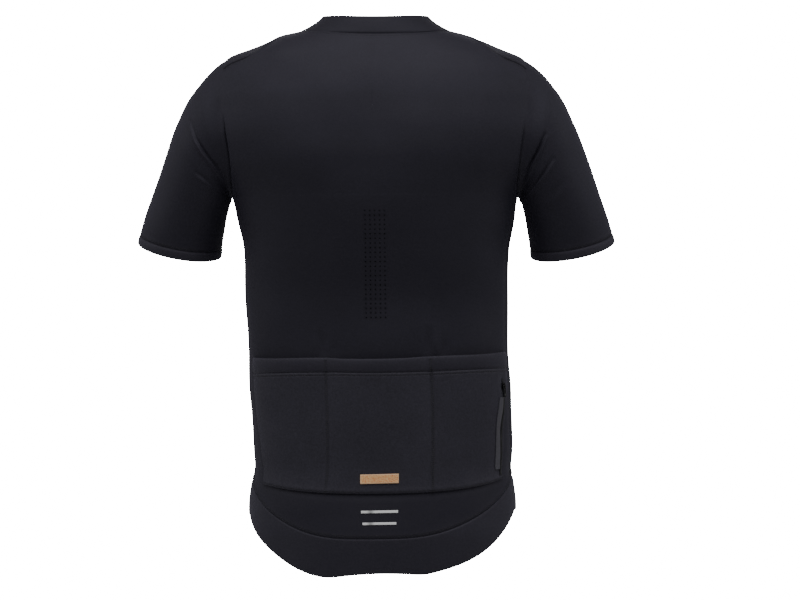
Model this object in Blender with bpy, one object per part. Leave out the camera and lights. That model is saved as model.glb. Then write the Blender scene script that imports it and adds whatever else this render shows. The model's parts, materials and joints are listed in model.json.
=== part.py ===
"""A short-sleeved cycling jersey, shaped as worn but empty: open at the neck, cuffs and hem.

Metres, +Z up. The wearer would face -Y, with the left arm at +X. The origin is in the middle
of the neck, at the height where the collar is sewn on.

The body is a stack of level sections (SECTIONS). Each is an oval with its own half width and
its own depth behind and in front. Over the shoulders the ovals shrink to a ridge. The panels
are pieces of that surface, cut along the seams. A sleeve is a fan of rings (SLEEVE_RINGS).
"""

import math
from collections import namedtuple

import bmesh
import bpy
import numpy as np
from mathutils import Matrix, Vector

# Cloth
WALL = 0.0015  # thickness of every cloth wall
SEAM_GAP = 0.0003  # between two panels at their seam
LAY_GAP = 0.0006  # under a piece that lies on a panel
PATCH = 0.0010  # thickness of the patch, bars, tapes and flap

# Neck and shoulders
NECK_HALF = 0.100  # half width of the neck at the collar seam
NECK_BACK_Z = -0.0045
NECK_FRONT_Z = -0.060
NECK_BACK_POWER, NECK_FRONT_POWER = 3.0, 1.7  # how evenly the neck edge dips
ARMHOLE_X = 0.197  # the armhole stands upright above here...
ARMPIT = (0.1885, -0.219)  # ...and curves in to this x and z
YOKE_Z = -0.100  # rows above this height run over the shoulder
SEAM_BEHIND_RIDGE = 0.0130  # how far the shoulder seam lies below the ridge, at the armhole
SEAM_DROP_FROM, SEAM_DROP_OVER = 0.115, 0.060  # the seam leaves the ridge from this x, over this

# Collar
COLLAR_TOP_HALF = 0.0725
COLLAR_TOP_BACK = (0.046, 0.0205)  # y and z of the top edge at the back
COLLAR_TOP_FRONT = (-0.067, -0.036)
COLLAR_HOLLOW = 0.004  # the collar curves inwards between its edges
COLLAR_GAP = 0.0006  # the collar stands at an angle on its seam, so it keeps further off
COLLAR_DIP_FROM = 1.22  # the top edge stays level up to this turn from the back, in radians
COLLAR_ROWS = (1.0, 0.67, 0.33, 0.0)  # from the top edge down to the seam

# The pockets' lower edge: the height at the middle of the back, how far the edge rises to the
# sides, and the power it rises with
POCKET_BOTTOM = (-0.6050, 0.0230, 2.0)
# The hem's two edges: the height at the middle, the rise for a whole half of the back, and the
# share of that half over which the edge turns up from level
HEM_SEAM = (-0.6610, 0.118, 0.40)
TAIL = (-0.7060, 0.139, 0.50)
TAIL_SHIFT = 0.03  # the lowest place lies this share to the left of the middle
POCKET_MOUTH_Z = -0.4285
POCKET_BAND = 0.020
TAIL_TILT = 0.0035  # the tail hangs this much lower at the left side, and higher at the right
TILT_FROM, TILT_FULL = -0.30, -0.43
SIDE_SEAM_ANGLE = math.radians(80)  # from the middle of the back, round to the side
SIDE_SEAM_FULL_Z = -0.26

# Pockets
POCKET_FULLNESS = 0.0095  # how far the mouth would stand off the back, at its fullest
POCKET_ROUNDNESS = 0.8  # under 1 is fuller towards the dividers
POCKET_FULL_FROM = -0.15  # the fullness runs out from above the mouth down to the bottom
DIVIDER = 3  # the dividers run along this column, counted from the middle
POCKET_COLUMNS = 10  # the pockets end at this column of the back

# Front zip
ZIP_HALF = 0.0050
FRONT_EDGE = ZIP_HALF + SEAM_GAP
FRONT_SLIDER_Z = -0.078

# Trims. A bar is its width and height, and the height of its middle
LABEL, LABEL_Z, LABEL_SHIFT = (0.0500, 0.0120), -0.5841, 0.002
REFLECTORS = [
    ("reflector_upper", (0.0483, 0.0036), -0.6266),
    ("reflector_lower", (0.0440, 0.0033), -0.6417),
]

# The zip of the right pocket. Each end is a share of the way round from the middle of the
# back, and a height. A half width is in columns of the pocket panel's grid
COIL = ((-0.797, -0.461), (-0.764, -0.584))
COIL_HALF, COIL_THICK = 0.08, 0.0012
FLAP = ((-0.757, -0.4835), (-0.733, -0.576))
FLAP_HALF = 0.28
POCKET_SLIDER = 0.0645  # share of the way down the coil

# Sliders and pulls
SLIDER_GAP = 0.0003
SLIDER_BLOCK = (0.0060, 0.0085, 0.0018)
AXIS_OVER_BLOCK = 0.0009
ARCH_WIDE, ARCH_LONG, ARCH_TOP, ARCH_LEG = 0.0016, 0.0052, 0.0020, 0.0008
PULL_WIDE, PULL_LONG, PULL_THICK = 0.0046, 0.0150, 0.0010
EYE_WIDE, EYE_END = 0.0026, 0.0037

# Grid
COLUMNS = 12  # from the middle of a panel to its side
NECK_COLUMNS = 6  # of those, along the neck
YOKE_ROWS_BACK, YOKE_ROWS_FRONT = 4, 8
ARMHOLE_ROWS = 8
WAIST_ROWS, BAND_ROWS, POCKET_ROWS, TAIL_ROWS = 6, 1, 6, 3
HEM_ROWS_BACK, HEM_ROWS_FRONT = 3, 2
ZIP_ROWS = 20
BAR_CELLS, STRIP_CELLS = (4, 1), (1, 8)  # across and along

Section = namedtuple("Section", "z half_width back front roundness lean")
SECTIONS = [
    Section(0.0500, 0.0300, 0.030, 0.036, 2.00, 0.0),
    Section(0.0185, 0.0722, 0.044, 0.050, 2.00, 0.0),
    Section(0.0026, 0.0950, 0.051, 0.058, 2.00, 0.0),
    Section(-0.0026, 0.1115, 0.055, 0.058, 2.00, 0.0),
    Section(-0.0158, 0.1489, 0.064, 0.062, 2.00, 0.0),
    Section(-0.0369, 0.1942, 0.076, 0.069, 2.10, 0.0),
    Section(-0.0600, 0.2110, 0.087, 0.077, 2.25, 0.0),
    Section(-0.0900, 0.2210, 0.098, 0.092, 2.42, 0.0),
    Section(-0.1300, 0.2240, 0.108, 0.109, 2.52, 0.0),
    Section(-0.1700, 0.2130, 0.114, 0.119, 2.45, 0.0),
    Section(-0.2000, 0.1965, 0.115, 0.123, 2.34, 0.0),
    Section(-0.2190, 0.1885, 0.1145, 0.1235, 2.30, 0.0),
    Section(-0.2480, 0.1828, 0.1125, 0.1225, 2.30, -0.0008),
    Section(-0.2902, 0.1750, 0.108, 0.119, 2.30, -0.0012),
    Section(-0.3535, 0.1729, 0.101, 0.114, 2.30, -0.0015),
    Section(-0.4168, 0.1710, 0.1035, 0.112, 2.30, -0.0036),
    Section(-0.4696, 0.1730, 0.1080, 0.113, 2.30, -0.0066),
    Section(-0.5118, 0.1712, 0.1120, 0.114, 2.30, -0.0088),
    Section(-0.5500, 0.1704, 0.1158, 0.115, 2.30, -0.0097),
    Section(-0.5720, 0.1690, 0.1182, 0.1155, 2.30, -0.0098),
    Section(-0.5962, 0.1730, 0.1216, 0.116, 2.30, -0.0096),
    Section(-0.6300, 0.1762, 0.1275, 0.117, 2.30, -0.0096),
    Section(-0.6620, 0.1762, 0.1318, 0.117, 2.30, -0.0096),
    Section(-0.7200, 0.1762, 0.1322, 0.117, 2.30, -0.0096),
]

# A sleeve ring runs from an outer to an inner point. Its back hangs lower than its front
Ring = namedtuple("Ring", "outer_x outer_z inner_x inner_z middle_y half_depth drop")
SLEEVE_RINGS = [
    Ring(0.2393, -0.0791, 0.1912, -0.2200, -0.0010, 0.0620, 0.000),
    Ring(0.2623, -0.1213, 0.1917, -0.2255, -0.0030, 0.0630, 0.002),
    Ring(0.2773, -0.1636, 0.1933, -0.2335, -0.0060, 0.0620, 0.005),
    Ring(0.2912, -0.2058, 0.1965, -0.2450, -0.0100, 0.0600, 0.008),
    Ring(0.3055, -0.2480, 0.2010, -0.2650, -0.0150, 0.0585, 0.011),
    Ring(0.3110, -0.2680, 0.2047, -0.2825, -0.0185, 0.0580, 0.012),
    Ring(0.3133, -0.2783, 0.2064, -0.2928, -0.0205, 0.0580, 0.013),
]
CUFF_FROM = 6  # the cuff runs from this ring to the last; the armhole counts as ring 0
RING_STEPS = [3, 2, 2, 1, 1, 1, 1]  # rows of cells from each ring to the next
# Over the shoulder the sleeve leaves the armhole square to its seam. Between these angles from
# the top it turns to leave it straight for the first ring
UNDERARM = (math.radians(95), math.radians(165))


# ---------------------------------------------------------------- smooth tables


def through(knots, values):
    """A smooth curve through a column of a table, which never swings past its values."""
    knots, values = np.asarray(knots, float), np.asarray(values, float)
    widths, slopes = np.diff(knots), np.diff(values) / np.diff(knots)
    tangents = np.zeros(len(knots))
    tangents[0], tangents[-1] = slopes[0], slopes[-1]
    for i in range(1, len(slopes)):
        if slopes[i - 1] * slopes[i] > 0:
            tangents[i] = 2 / (1 / slopes[i - 1] + 1 / slopes[i])

    def at(place):
        place = np.clip(place, knots[0], knots[-1])
        i = np.clip(np.searchsorted(knots, place) - 1, 0, len(widths) - 1)
        t = (place - knots[i]) / widths[i]
        return (
            values[i] * (1 + 2 * t) * (1 - t) ** 2
            + tangents[i] * widths[i] * t * (1 - t) ** 2
            + values[i + 1] * t * t * (3 - 2 * t)
            - tangents[i + 1] * widths[i] * t * t * (1 - t)
        )

    return at


RISING = SECTIONS[::-1]
half_width, depth_back, depth_front, roundness, lean = (
    through([row.z for row in RISING], [getattr(row, name) for row in RISING])
    for name in ("half_width", "back", "front", "roundness", "lean")
)
WIDEST_Z = -0.130


def ease(value, start, end):
    t = np.clip((value - start) / (end - start), 0.0, 1.0)
    return t * t * (3 - 2 * t)


# ---------------------------------------------------------------- the body's surface


def ridge_z(x):
    """The height of the shoulder ridge at x: where the sections are just this wide."""
    low, high = WIDEST_Z, SECTIONS[0].z
    for _ in range(40):
        middle = (low + high) / 2
        if half_width(middle) > x:
            low = middle
        else:
            high = middle
    return (low + high) / 2


def on_section(angle, z, back):
    """A point on the section at height z. The angle runs from its middle towards +X."""
    power = 2 / roundness(z)
    depth = depth_back(z) if back == (math.cos(angle) > 0) else depth_front(z)
    x = half_width(z) * abs(math.sin(angle)) ** power * np.sign(math.sin(angle))
    y = depth * abs(math.cos(angle)) ** power * np.sign(math.cos(angle))
    return Vector((x + lean(z), y if back else -y, z))


def over_shoulder(x, rise):
    """A point above the yoke line. Its height is rise squared below the ridge, behind the
    ridge where rise is positive and in front of it where rise is negative."""
    z = ridge_z(abs(x)) - rise * rise
    power = roundness(z)
    depth = depth_back(z) if rise > 0 else depth_front(z)
    inside = max(0.0, 1 - (abs(x) / half_width(z)) ** power) ** (1 / power)
    return Vector((x, depth * inside * np.sign(rise), z))


def roundness_field(point):
    """1 on the body's surface, less inside and more outside."""
    x, y, z = point
    power = roundness(z)
    depth = depth_back(z) if y > 0 else depth_front(z)
    return (abs(x - lean(z)) / half_width(z)) ** power + (abs(y) / depth) ** power


def body_normal(point):
    step = 0.0004
    slope = []
    for axis in range(3):
        move = Vector((0, 0, 0))
        move[axis] = step
        slope.append(roundness_field(point + move) - roundness_field(point - move))
    return Vector(slope).normalized()


def tilt(z, share):
    """How much a lower edge moves down at this share of the way to the left side."""
    return -TAIL_TILT * share * ease(z, TILT_FROM, TILT_FULL)


def curved_edge(edge, share):
    middle, rise, power = edge
    return middle + rise * abs(share) ** power


def swept_edge(edge, share):
    """Level near the middle, and then evenly up to the sides."""
    middle, rise, level = edge
    away = abs(share - TAIL_SHIFT * (1 - share**2))
    return middle + rise * ((away**3 + level**3) ** (1 / 3) - level)


def hem_seam_z(share):
    return swept_edge(HEM_SEAM, share)


def tail_z(share):
    return swept_edge(TAIL, share)


def front_seam_z(_share):
    return hem_seam_z(1.0)


def front_hem_z(_share):
    return tail_z(1.0)


# ---------------------------------------------------------------- armhole and neck

ARMHOLE_TOP = ridge_z(ARMHOLE_X)
ARMHOLE_MIDDLE = (ARMHOLE_TOP + ARMPIT[1]) / 2
ARMHOLE_HALF = (ARMHOLE_TOP - ARMPIT[1]) / 2


def armhole_angle(z):
    return math.acos(min(1.0, max(-1.0, (z - ARMHOLE_MIDDLE) / ARMHOLE_HALF)))


def armhole_z(angle):
    return ARMHOLE_MIDDLE + ARMHOLE_HALF * math.cos(angle)


def armhole_x(z):
    return ARMPIT[0] + (ARMHOLE_X - ARMPIT[0]) * ease(z, ARMPIT[1], YOKE_Z)


SHOULDER_SEAM = armhole_angle(ARMHOLE_TOP - SEAM_BEHIND_RIDGE)
YOKE_END = armhole_angle(YOKE_Z)


def armhole_samples(start, end, count):
    return [start + (end - start) * i / count for i in range(count + 1)]


UPPER_BACK = armhole_samples(SHOULDER_SEAM, YOKE_END, YOKE_ROWS_BACK)
UPPER_FRONT = armhole_samples(-SHOULDER_SEAM, YOKE_END, YOKE_ROWS_FRONT)
LOWER = armhole_samples(YOKE_END, math.pi, ARMHOLE_ROWS)


def edge_angle(z, back):
    """Where a panel ends on the section at z: at the armhole, or below it at the side seam."""
    if z >= ARMPIT[1]:
        ratio = min(1.0, armhole_x(z) / half_width(z))
        return math.asin(ratio ** (roundness(z) / 2))
    turn = (math.pi / 2 - SIDE_SEAM_ANGLE) * ease(z, ARMPIT[1], SIDE_SEAM_FULL_Z)
    return math.pi / 2 - turn if back else math.pi / 2 + turn


def neck_x(column):
    return NECK_HALF * math.sin(math.pi / 2 * column / NECK_COLUMNS)


def neck_rise(x, back):
    """The neck edge, as the rise that over_shoulder reads."""
    side_z = ridge_z(NECK_HALF)
    share = math.sqrt(max(0.0, 1 - (x / NECK_HALF) ** 2))
    if back:
        z = side_z + (NECK_BACK_Z - side_z) * share**NECK_BACK_POWER
        return math.sqrt(max(0.0, ridge_z(x) - z))
    z = side_z + (NECK_FRONT_Z - side_z) * share**NECK_FRONT_POWER
    return -math.sqrt(max(0.0, ridge_z(x) - z))


def seam_rise(x):
    """The shoulder seam leaves the ridge near the neck and drops behind it."""
    share = min(1.0, max(0.0, (x - SEAM_DROP_FROM) / SEAM_DROP_OVER))
    return math.sqrt(SEAM_BEHIND_RIDGE) * math.sin(math.pi / 2 * share)


# ---------------------------------------------------------------- panels as grids of points


def body_point(share, z, back, start=0.0):
    """share runs from the panel's middle, or its front edge at start, to its side."""
    sign = -1 if share < 0 else 1
    end = edge_angle(z, back)
    begin = math.asin(min(1.0, start / half_width(z)) ** (roundness(z) / 2))
    return on_section(sign * (begin + abs(share) * (end - begin)), z, back)


def top_edge(column, back):
    """x and rise of the panel's upper edge: the neck, then the shoulder seam."""
    if column <= NECK_COLUMNS:
        x = max(neck_x(column), 0.0 if back else FRONT_EDGE)
        return x, neck_rise(x, back)
    x = NECK_HALF + (ARMHOLE_X - NECK_HALF) * (column - NECK_COLUMNS) / (COLUMNS - NECK_COLUMNS)
    return x, seam_rise(x)


def yoke_column(column, back):
    """Points from the upper edge down to the yoke line, at x >= 0."""
    angles = UPPER_BACK if back else UPPER_FRONT
    start = 0.0 if back else FRONT_EDGE
    low = body_point(column / COLUMNS, YOKE_Z, back, start)
    low_rise = math.sqrt(ridge_z(low.x) - YOKE_Z) * (1 if back else -1)
    top_x, top_rise = top_edge(column, back)

    def edge_rise(angle):
        forward = back == (angle > 0)
        rise = math.sqrt(max(0.0, ARMHOLE_TOP - armhole_z(angle)))
        return rise if forward else -rise

    first, last = edge_rise(angles[0]), edge_rise(angles[-1])
    points = []
    for angle in angles:
        t = (edge_rise(angle) - first) / (last - first)
        x = top_x + (low.x - top_x) * t
        points.append(over_shoulder(x, top_rise + (low_rise - top_rise) * t))
    return points


def even_steps(start, end, count):
    return [start + (end - start) * (row + 1) / count for row in range(count)]


def body_heights(share):
    """Rows from the armpit to the hem seam. The pockets lie on the same rows."""
    band_end = POCKET_MOUTH_Z - POCKET_BAND
    heights = even_steps(ARMPIT[1], POCKET_MOUTH_Z, WAIST_ROWS)
    heights += even_steps(POCKET_MOUTH_Z, band_end, BAND_ROWS)
    heights += even_steps(band_end, pocket_bottom_z(share), POCKET_ROWS)
    heights += even_steps(pocket_bottom_z(share), hem_seam_z(share), TAIL_ROWS)
    return heights


def lower_column(share, back, start=0.0):
    """Points from just below the yoke line down to the hem seam."""
    heights = [armhole_z(angle) for angle in LOWER[1:]]
    heights += body_heights(share if back else 1.0)
    return [body_point(share, z + tilt(z, share), back, start) for z in heights]


def mirrored(column, middle_x=0.0):
    return [Vector((2 * middle_x - p.x, p.y, p.z)) for p in column]


def back_grid():
    columns = []
    for column in range(-COLUMNS, COLUMNS + 1):
        share = column / COLUMNS
        upper = yoke_column(abs(column), True)
        if column < 0:
            upper = mirrored(upper)
        columns.append(upper + lower_column(share, True))
    return columns


def front_grid(side):
    columns = []
    for column in range(COLUMNS + 1):
        share = side * max(column / COLUMNS, 1e-9)
        upper = yoke_column(column, False)
        if side < 0:
            upper = mirrored(upper)
        columns.append(upper + lower_column(share, False, FRONT_EDGE))
    return columns


def band_grid(shares, top, bottom, rows, back=True, start=0.0):
    """A strip of the body between two heights, each given as a function of the share."""
    columns = []
    for share in shares:
        column = []
        for row in range(rows + 1):
            z = top(share) + (bottom(share) - top(share)) * row / rows
            column.append(body_point(share, z + tilt(z, share), back, start))
        columns.append(column)
    return columns


# ---------------------------------------------------------------- walls


def inset(columns, sides="lrtb", closed=False, by=SEAM_GAP / 2):
    """Moves the edges of a grid inwards: by half a seam gap, or by more where walls meet at an
    angle."""
    grid = np.array([[list(p) for p in column] for column in columns])
    moved = grid.copy()

    def pull(edge, inner):
        tangent = np.gradient(edge, axis=0)
        tangent /= np.linalg.norm(tangent, axis=1, keepdims=True) + 1e-12
        way = inner - edge
        way -= tangent * (way * tangent).sum(axis=1, keepdims=True)
        length = np.linalg.norm(way, axis=1, keepdims=True)
        return way / (length + 1e-12) * by

    if not closed:
        if "l" in sides:
            moved[0] += pull(grid[0], grid[1])
        if "r" in sides:
            moved[-1] += pull(grid[-1], grid[-2])
    if "t" in sides:
        moved[:, 0] += pull(grid[:, 0], grid[:, 1])
    if "b" in sides:
        moved[:, -1] += pull(grid[:, -1], grid[:, -2])
    return [[Vector(p) for p in column] for column in moved]


def make_wall(name, outer, inner, material, closed=False):
    """A closed wall between two grids of points. A closed grid joins its last column to its
    first."""
    mesh = bmesh.new()
    skins = [[[mesh.verts.new(p) for p in column] for column in grid] for grid in (outer, inner)]
    count, rows = len(outer), len(outer[0])
    spans = range(count if closed else count - 1)
    for skin, flip in zip(skins, (False, True)):
        for i in spans:
            left, right = skin[i], skin[(i + 1) % count]
            for j in range(rows - 1):
                corners = [left[j], right[j], right[j + 1], left[j + 1]]
                mesh.faces.new(corners[::-1] if flip else corners)
    for j in (0, rows - 1):
        for i in spans:
            k = (i + 1) % count
            mesh.faces.new([skins[0][i][j], skins[0][k][j], skins[1][k][j], skins[1][i][j]])
    if not closed:
        for i in (0, count - 1):
            for j in range(rows - 1):
                mesh.faces.new(
                    [skins[0][i][j], skins[0][i][j + 1], skins[1][i][j + 1], skins[1][i][j]]
                )
    bmesh.ops.recalc_face_normals(mesh, faces=mesh.faces)
    if mesh.calc_volume(signed=True) < 0:
        bmesh.ops.reverse_faces(mesh, faces=mesh.faces)
    return add_object(name, mesh, material)


def add_object(name, mesh, material):
    data = bpy.data.meshes.new(name)
    mesh.to_mesh(data)
    mesh.free()
    data.materials.append(material)
    data.shade_smooth()
    data.set_sharp_from_angle(angle=math.radians(40))
    item = bpy.data.objects.new(name, data)
    GARMENT.objects.link(item)
    return item


def body_wall(name, columns, material, sides="lrtb", lift=None, thickness=WALL):
    """A wall on the body's surface. lift(column, row) moves it out, to lie on a panel."""
    columns = inset(columns, sides)
    outer, inner, all_normals = [], [], []
    for i, column in enumerate(columns):
        normals = [body_normal(p) for p in column]
        raised = [lift(i, j) + thickness if lift else 0.0 for j in range(len(column))]
        outer.append([p + n * up for p, n, up in zip(column, normals, raised)])
        inner.append([p + n * (up - thickness) for p, n, up in zip(column, normals, raised)])
        all_normals.append(normals)
    make_wall(name, outer, inner, material)
    return Skin(outer, all_normals)


Skin = namedtuple("Skin", "points normals")  # a panel's outer side, by column and row


def on_skin(skin, column, row):
    """The point and normal at a fractional column and row of a panel."""
    i = min(int(column), len(skin.points) - 2)
    j = min(int(row), len(skin.points[0]) - 2)
    found = []
    for grid in skin:
        upper = grid[i][j].lerp(grid[i + 1][j], column - i)
        lower = grid[i][j + 1].lerp(grid[i + 1][j + 1], column - i)
        found.append(upper.lerp(lower, row - j))
    return found[0], found[1].normalized()


def patch(name, skin, middle, half, cells, material, thickness=PATCH, gap=LAY_GAP):
    """A strip that lies on a panel. middle(t) gives its column and row, and half its half
    width in columns."""
    across, along = cells
    outer, inner = [], []
    for i in range(across + 1):
        outer.append([])
        inner.append([])
        for j in range(along + 1):
            column, row = middle(j / along)
            point, normal = on_skin(skin, column + half * (2 * i / across - 1), row)
            outer[-1].append(point + normal * (gap + thickness))
            inner[-1].append(point + normal * gap)
    make_wall(name, outer, inner, material)


# ---------------------------------------------------------------- sleeves


def armhole_ring():
    """Angles and points round the left armhole, from the armpit up the back and down the front."""
    back = UPPER_BACK + LOWER[1:]
    front = UPPER_FRONT + LOWER[1:]
    angles = back[::-1] + [-angle for angle in front[1:-1]]
    points, ways = [], []
    for angle in angles:
        z = armhole_z(angle)
        if z < ARMPIT[1] + 1e-9:
            point = Vector((ARMPIT[0], 0.0, ARMPIT[1]))
        elif z > YOKE_Z:
            rise = math.sqrt(max(0.0, ARMHOLE_TOP - z))
            point = over_shoulder(ARMHOLE_X, rise if angle > 0 else -rise)
        else:
            point = body_point(1.0, z, angle > 0)
        points.append(point)
    count = len(points)
    for i, point in enumerate(points):
        along = (points[(i + 1) % count] - points[i - 1]).normalized()
        ways.append(along.cross(body_normal(point)).normalized())
    if ways[count // 2].x < 0:
        ways = [-way for way in ways]
    return angles, points, ways


def sleeve_ring(ring, angles):
    points = []
    outer = Vector((ring.outer_x, ring.middle_y, ring.outer_z))
    inner = Vector((ring.inner_x, ring.middle_y, ring.inner_z))
    across = Vector((0.0, ring.half_depth, -ring.drop))
    for angle in angles:
        reach = (outer - inner) / 2 * math.cos(angle)
        points.append((outer + inner) / 2 + reach + across * math.sin(angle))
    return points


def sleeve_columns():
    """The sleeve's surface from the armhole to the end of the cuff, and the row of each ring."""
    angles, first, ways = armhole_ring()
    rings = [first] + [sleeve_ring(ring, angles) for ring in SLEEVE_RINGS]
    ring_rows = [0]
    for steps in RING_STEPS:
        ring_rows.append(ring_rows[-1] + steps)
    columns = []
    for i, angle in enumerate(angles):
        path = [ring[i] for ring in rings]
        fold = ease(abs(angle), *UNDERARM)
        start = ways[i] * (1 - fold) + (path[1] - path[0]).normalized() * fold
        tangents = [start * (path[1] - path[0]).length]
        for k in range(1, len(path) - 1):
            tangents.append((path[k + 1] - path[k - 1]) / 2)
        tangents.append(path[-1] - path[-2])
        column = [path[0]]
        for k, steps in enumerate(RING_STEPS):
            for step in range(1, steps + 1):
                t = step / steps
                column.append(
                    path[k] * (1 + 2 * t) * (1 - t) ** 2
                    + tangents[k] * t * (1 - t) ** 2
                    + path[k + 1] * t * t * (3 - 2 * t)
                    - tangents[k + 1] * t * t * (1 - t)
                )
        columns.append(column)
    return columns, ring_rows


def ring_normals(columns):
    """Outward normals of a closed grid, from the grid itself."""
    grid = np.array([[list(p) for p in column] for column in columns])
    round_way = np.roll(grid, -1, axis=0) - np.roll(grid, 1, axis=0)
    down_way = np.gradient(grid, axis=1)
    normals = np.cross(round_way, down_way)
    normals /= np.linalg.norm(normals, axis=2, keepdims=True)
    middle = grid.mean(axis=0, keepdims=True)
    if ((grid - middle) * normals).sum() < 0:
        normals = -normals
    return [[Vector(n) for n in column] for column in normals]


def build_sleeve(side, cloth, band_cloth):
    columns, ring_rows = sleeve_columns()
    normals = ring_normals(columns)
    cuff_row = ring_rows[CUFF_FROM]
    word = "left" if side > 0 else "right"
    parts = (("sleeve_", 0, cuff_row, cloth), ("cuff_", cuff_row, ring_rows[-1], band_cloth))
    for name, top, bottom, material in parts:
        outer = inset([column[top : bottom + 1] for column in columns], "t" if top else "tb", True)
        inner = [
            [p - n * WALL for p, n in zip(column, out[top : bottom + 1])]
            for column, out in zip(outer, normals)
        ]
        if side < 0:
            outer = [mirrored(column) for column in outer]
            inner = [mirrored(column) for column in inner]
        make_wall(name + word, outer, inner, material, closed=True)


# ---------------------------------------------------------------- collar and front zip


def collar_base(turn):
    """The neck edge. turn runs from 0 at the back to pi at the front."""
    back = turn <= math.pi / 2
    column = NECK_COLUMNS * (turn if back else math.pi - turn) / (math.pi / 2)
    x = neck_x(column)
    return over_shoulder(x, neck_rise(x, back))


def collar_point(turn, t):
    """t runs from 0 at the seam to 1 at the top edge."""
    low = collar_base(min(abs(turn), math.pi))
    middle_y = (COLLAR_TOP_BACK[0] + COLLAR_TOP_FRONT[0]) / 2
    half_y = (COLLAR_TOP_BACK[0] - COLLAR_TOP_FRONT[0]) / 2
    fall = ease(abs(turn), COLLAR_DIP_FROM, math.pi)
    high = Vector(
        (
            COLLAR_TOP_HALF * math.sin(abs(turn)),
            middle_y + half_y * math.cos(turn),
            COLLAR_TOP_BACK[1] + (COLLAR_TOP_FRONT[1] - COLLAR_TOP_BACK[1]) * fall,
        )
    )
    hollow = COLLAR_HOLLOW * 4 * t * (1 - t) * abs(math.sin(turn))
    point = low.lerp(high, t)
    point.x -= hollow
    if abs(turn) > math.pi / 2:
        point.x = max(point.x, FRONT_EDGE)
    if turn < 0:
        point.x = -point.x
    return point


def wall_from_grid(name, columns, material, outward, thickness=WALL):
    """A wall on an open grid, with normals worked out from the grid itself."""
    grid = np.array([[list(p) for p in column] for column in columns])
    normals = np.cross(np.gradient(grid, axis=0), np.gradient(grid, axis=1))
    normals /= np.linalg.norm(normals, axis=2, keepdims=True)
    outwards = np.array([outward(p) for p in grid.reshape(-1, 3)]).reshape(grid.shape)
    if (normals * outwards).sum() < 0:
        normals = -normals
    inner = [
        [p - Vector(n) * thickness for p, n in zip(column, normal_column)]
        for column, normal_column in zip(columns, normals)
    ]
    make_wall(name, columns, inner, material)


def from_neck_axis(point):
    return (point[0], point[1], 0.0)


def build_collar(material):
    front_turn = math.pi - math.asin(FRONT_EDGE / NECK_HALF)
    turns = [math.pi / 2 * i / NECK_COLUMNS for i in range(2 * NECK_COLUMNS)] + [front_turn]
    turns = [-turn for turn in turns[:0:-1]] + turns
    columns = [[collar_point(turn, t) for t in COLLAR_ROWS] for turn in turns]
    wall_from_grid("collar", inset(columns, "b", by=COLLAR_GAP), material, from_neck_axis)


def front_zip_path():
    """The middle of the front, from the top of the collar to the hem."""
    path = [collar_point(math.pi, t) for t in (1.0, 0.5)]
    for point in path:
        point.x = 0.0
    for row in range(ZIP_ROWS + 1):
        z = NECK_FRONT_Z + (front_hem_z(0) - NECK_FRONT_Z) * row / ZIP_ROWS
        path.append(on_section(0.0, z, False))
    return path


def build_front_zip(material):
    path = front_zip_path()
    columns = [[p + Vector((x, 0, 0)) for p in path] for x in (-ZIP_HALF, ZIP_HALF)]
    wall_from_grid("front_zip", columns, material, lambda point: (0.0, -1.0, 0.0))


# ---------------------------------------------------------------- pockets


def pocket_bulge(column, t):
    """How far a pocket stands off. t runs from 0 at its mouth to 1 at its bottom."""
    place = abs(column)
    if place <= DIVIDER:
        across = math.cos(math.pi / 2 * place / DIVIDER)
    else:
        across = math.sin(math.pi * (place - DIVIDER) / (POCKET_COLUMNS - DIVIDER))
    left_over = 1 - ease(t, POCKET_FULL_FROM, 1.0)
    return POCKET_FULLNESS * max(0.0, across) ** POCKET_ROUNDNESS * left_over


def mouth_z(_share):
    return POCKET_MOUTH_Z


def band_bottom_z(_share):
    return POCKET_MOUTH_Z - POCKET_BAND


def pocket_bottom_z(share):
    return curved_edge(POCKET_BOTTOM, share)


def build_pockets(cloth, band_cloth):
    shares = [column / COLUMNS for column in range(-POCKET_COLUMNS, POCKET_COLUMNS + 1)]
    skins = {}
    for name, top, bottom, rows, material in (
        ("pocket_band", mouth_z, band_bottom_z, BAND_ROWS, band_cloth),
        ("pocket_panel", band_bottom_z, pocket_bottom_z, POCKET_ROWS, cloth),
    ):

        def lift(i, j, top=top, bottom=bottom, rows=rows):
            z = top(shares[i]) + (bottom(shares[i]) - top(shares[i])) * j / rows
            t = (POCKET_MOUTH_Z - z) / (POCKET_MOUTH_Z - pocket_bottom_z(shares[i]))
            return LAY_GAP + pocket_bulge(i - POCKET_COLUMNS, t)

        skins[name] = body_wall(name, band_grid(shares, top, bottom, rows), material, "lrtb", lift)
    return skins["pocket_panel"]


# ---------------------------------------------------------------- trims on the pocket and tail


def column_at(x, z):
    """The grid column, counted from the middle, at this distance from the body's middle."""
    ratio = abs(x) / half_width(z)
    share = math.asin(ratio ** (roundness(z) / 2)) / edge_angle(z, True)
    return COLUMNS * share * np.sign(x)


def row_at(z, top, bottom, rows):
    return rows * (top - z) / (top - bottom)


def bar(name, skin, size, z, row_of, material, shift=0.0):
    """A flat bar across the middle of the back, width by height, centred on z."""
    width, height = size
    left, right = (column_at(shift + side * width / 2, z) for side in (-1, 1))
    centre = (left + right) / 2 + len(skin.points) // 2

    def middle(t):
        return centre, row_of(z + height / 2 - height * t)

    patch(name, skin, middle, (right - left) / 2, BAR_CELLS, material)


def along(start, end):
    """A straight line on a panel, between two (share, height) places on the pocket panel."""

    def middle(t):
        share = start[0] + (end[0] - start[0]) * t
        z = start[1] + (end[1] - start[1]) * t
        row = row_at(z, band_bottom_z(share), pocket_bottom_z(share), POCKET_ROWS)
        return POCKET_COLUMNS + COLUMNS * share, row

    return middle


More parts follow.
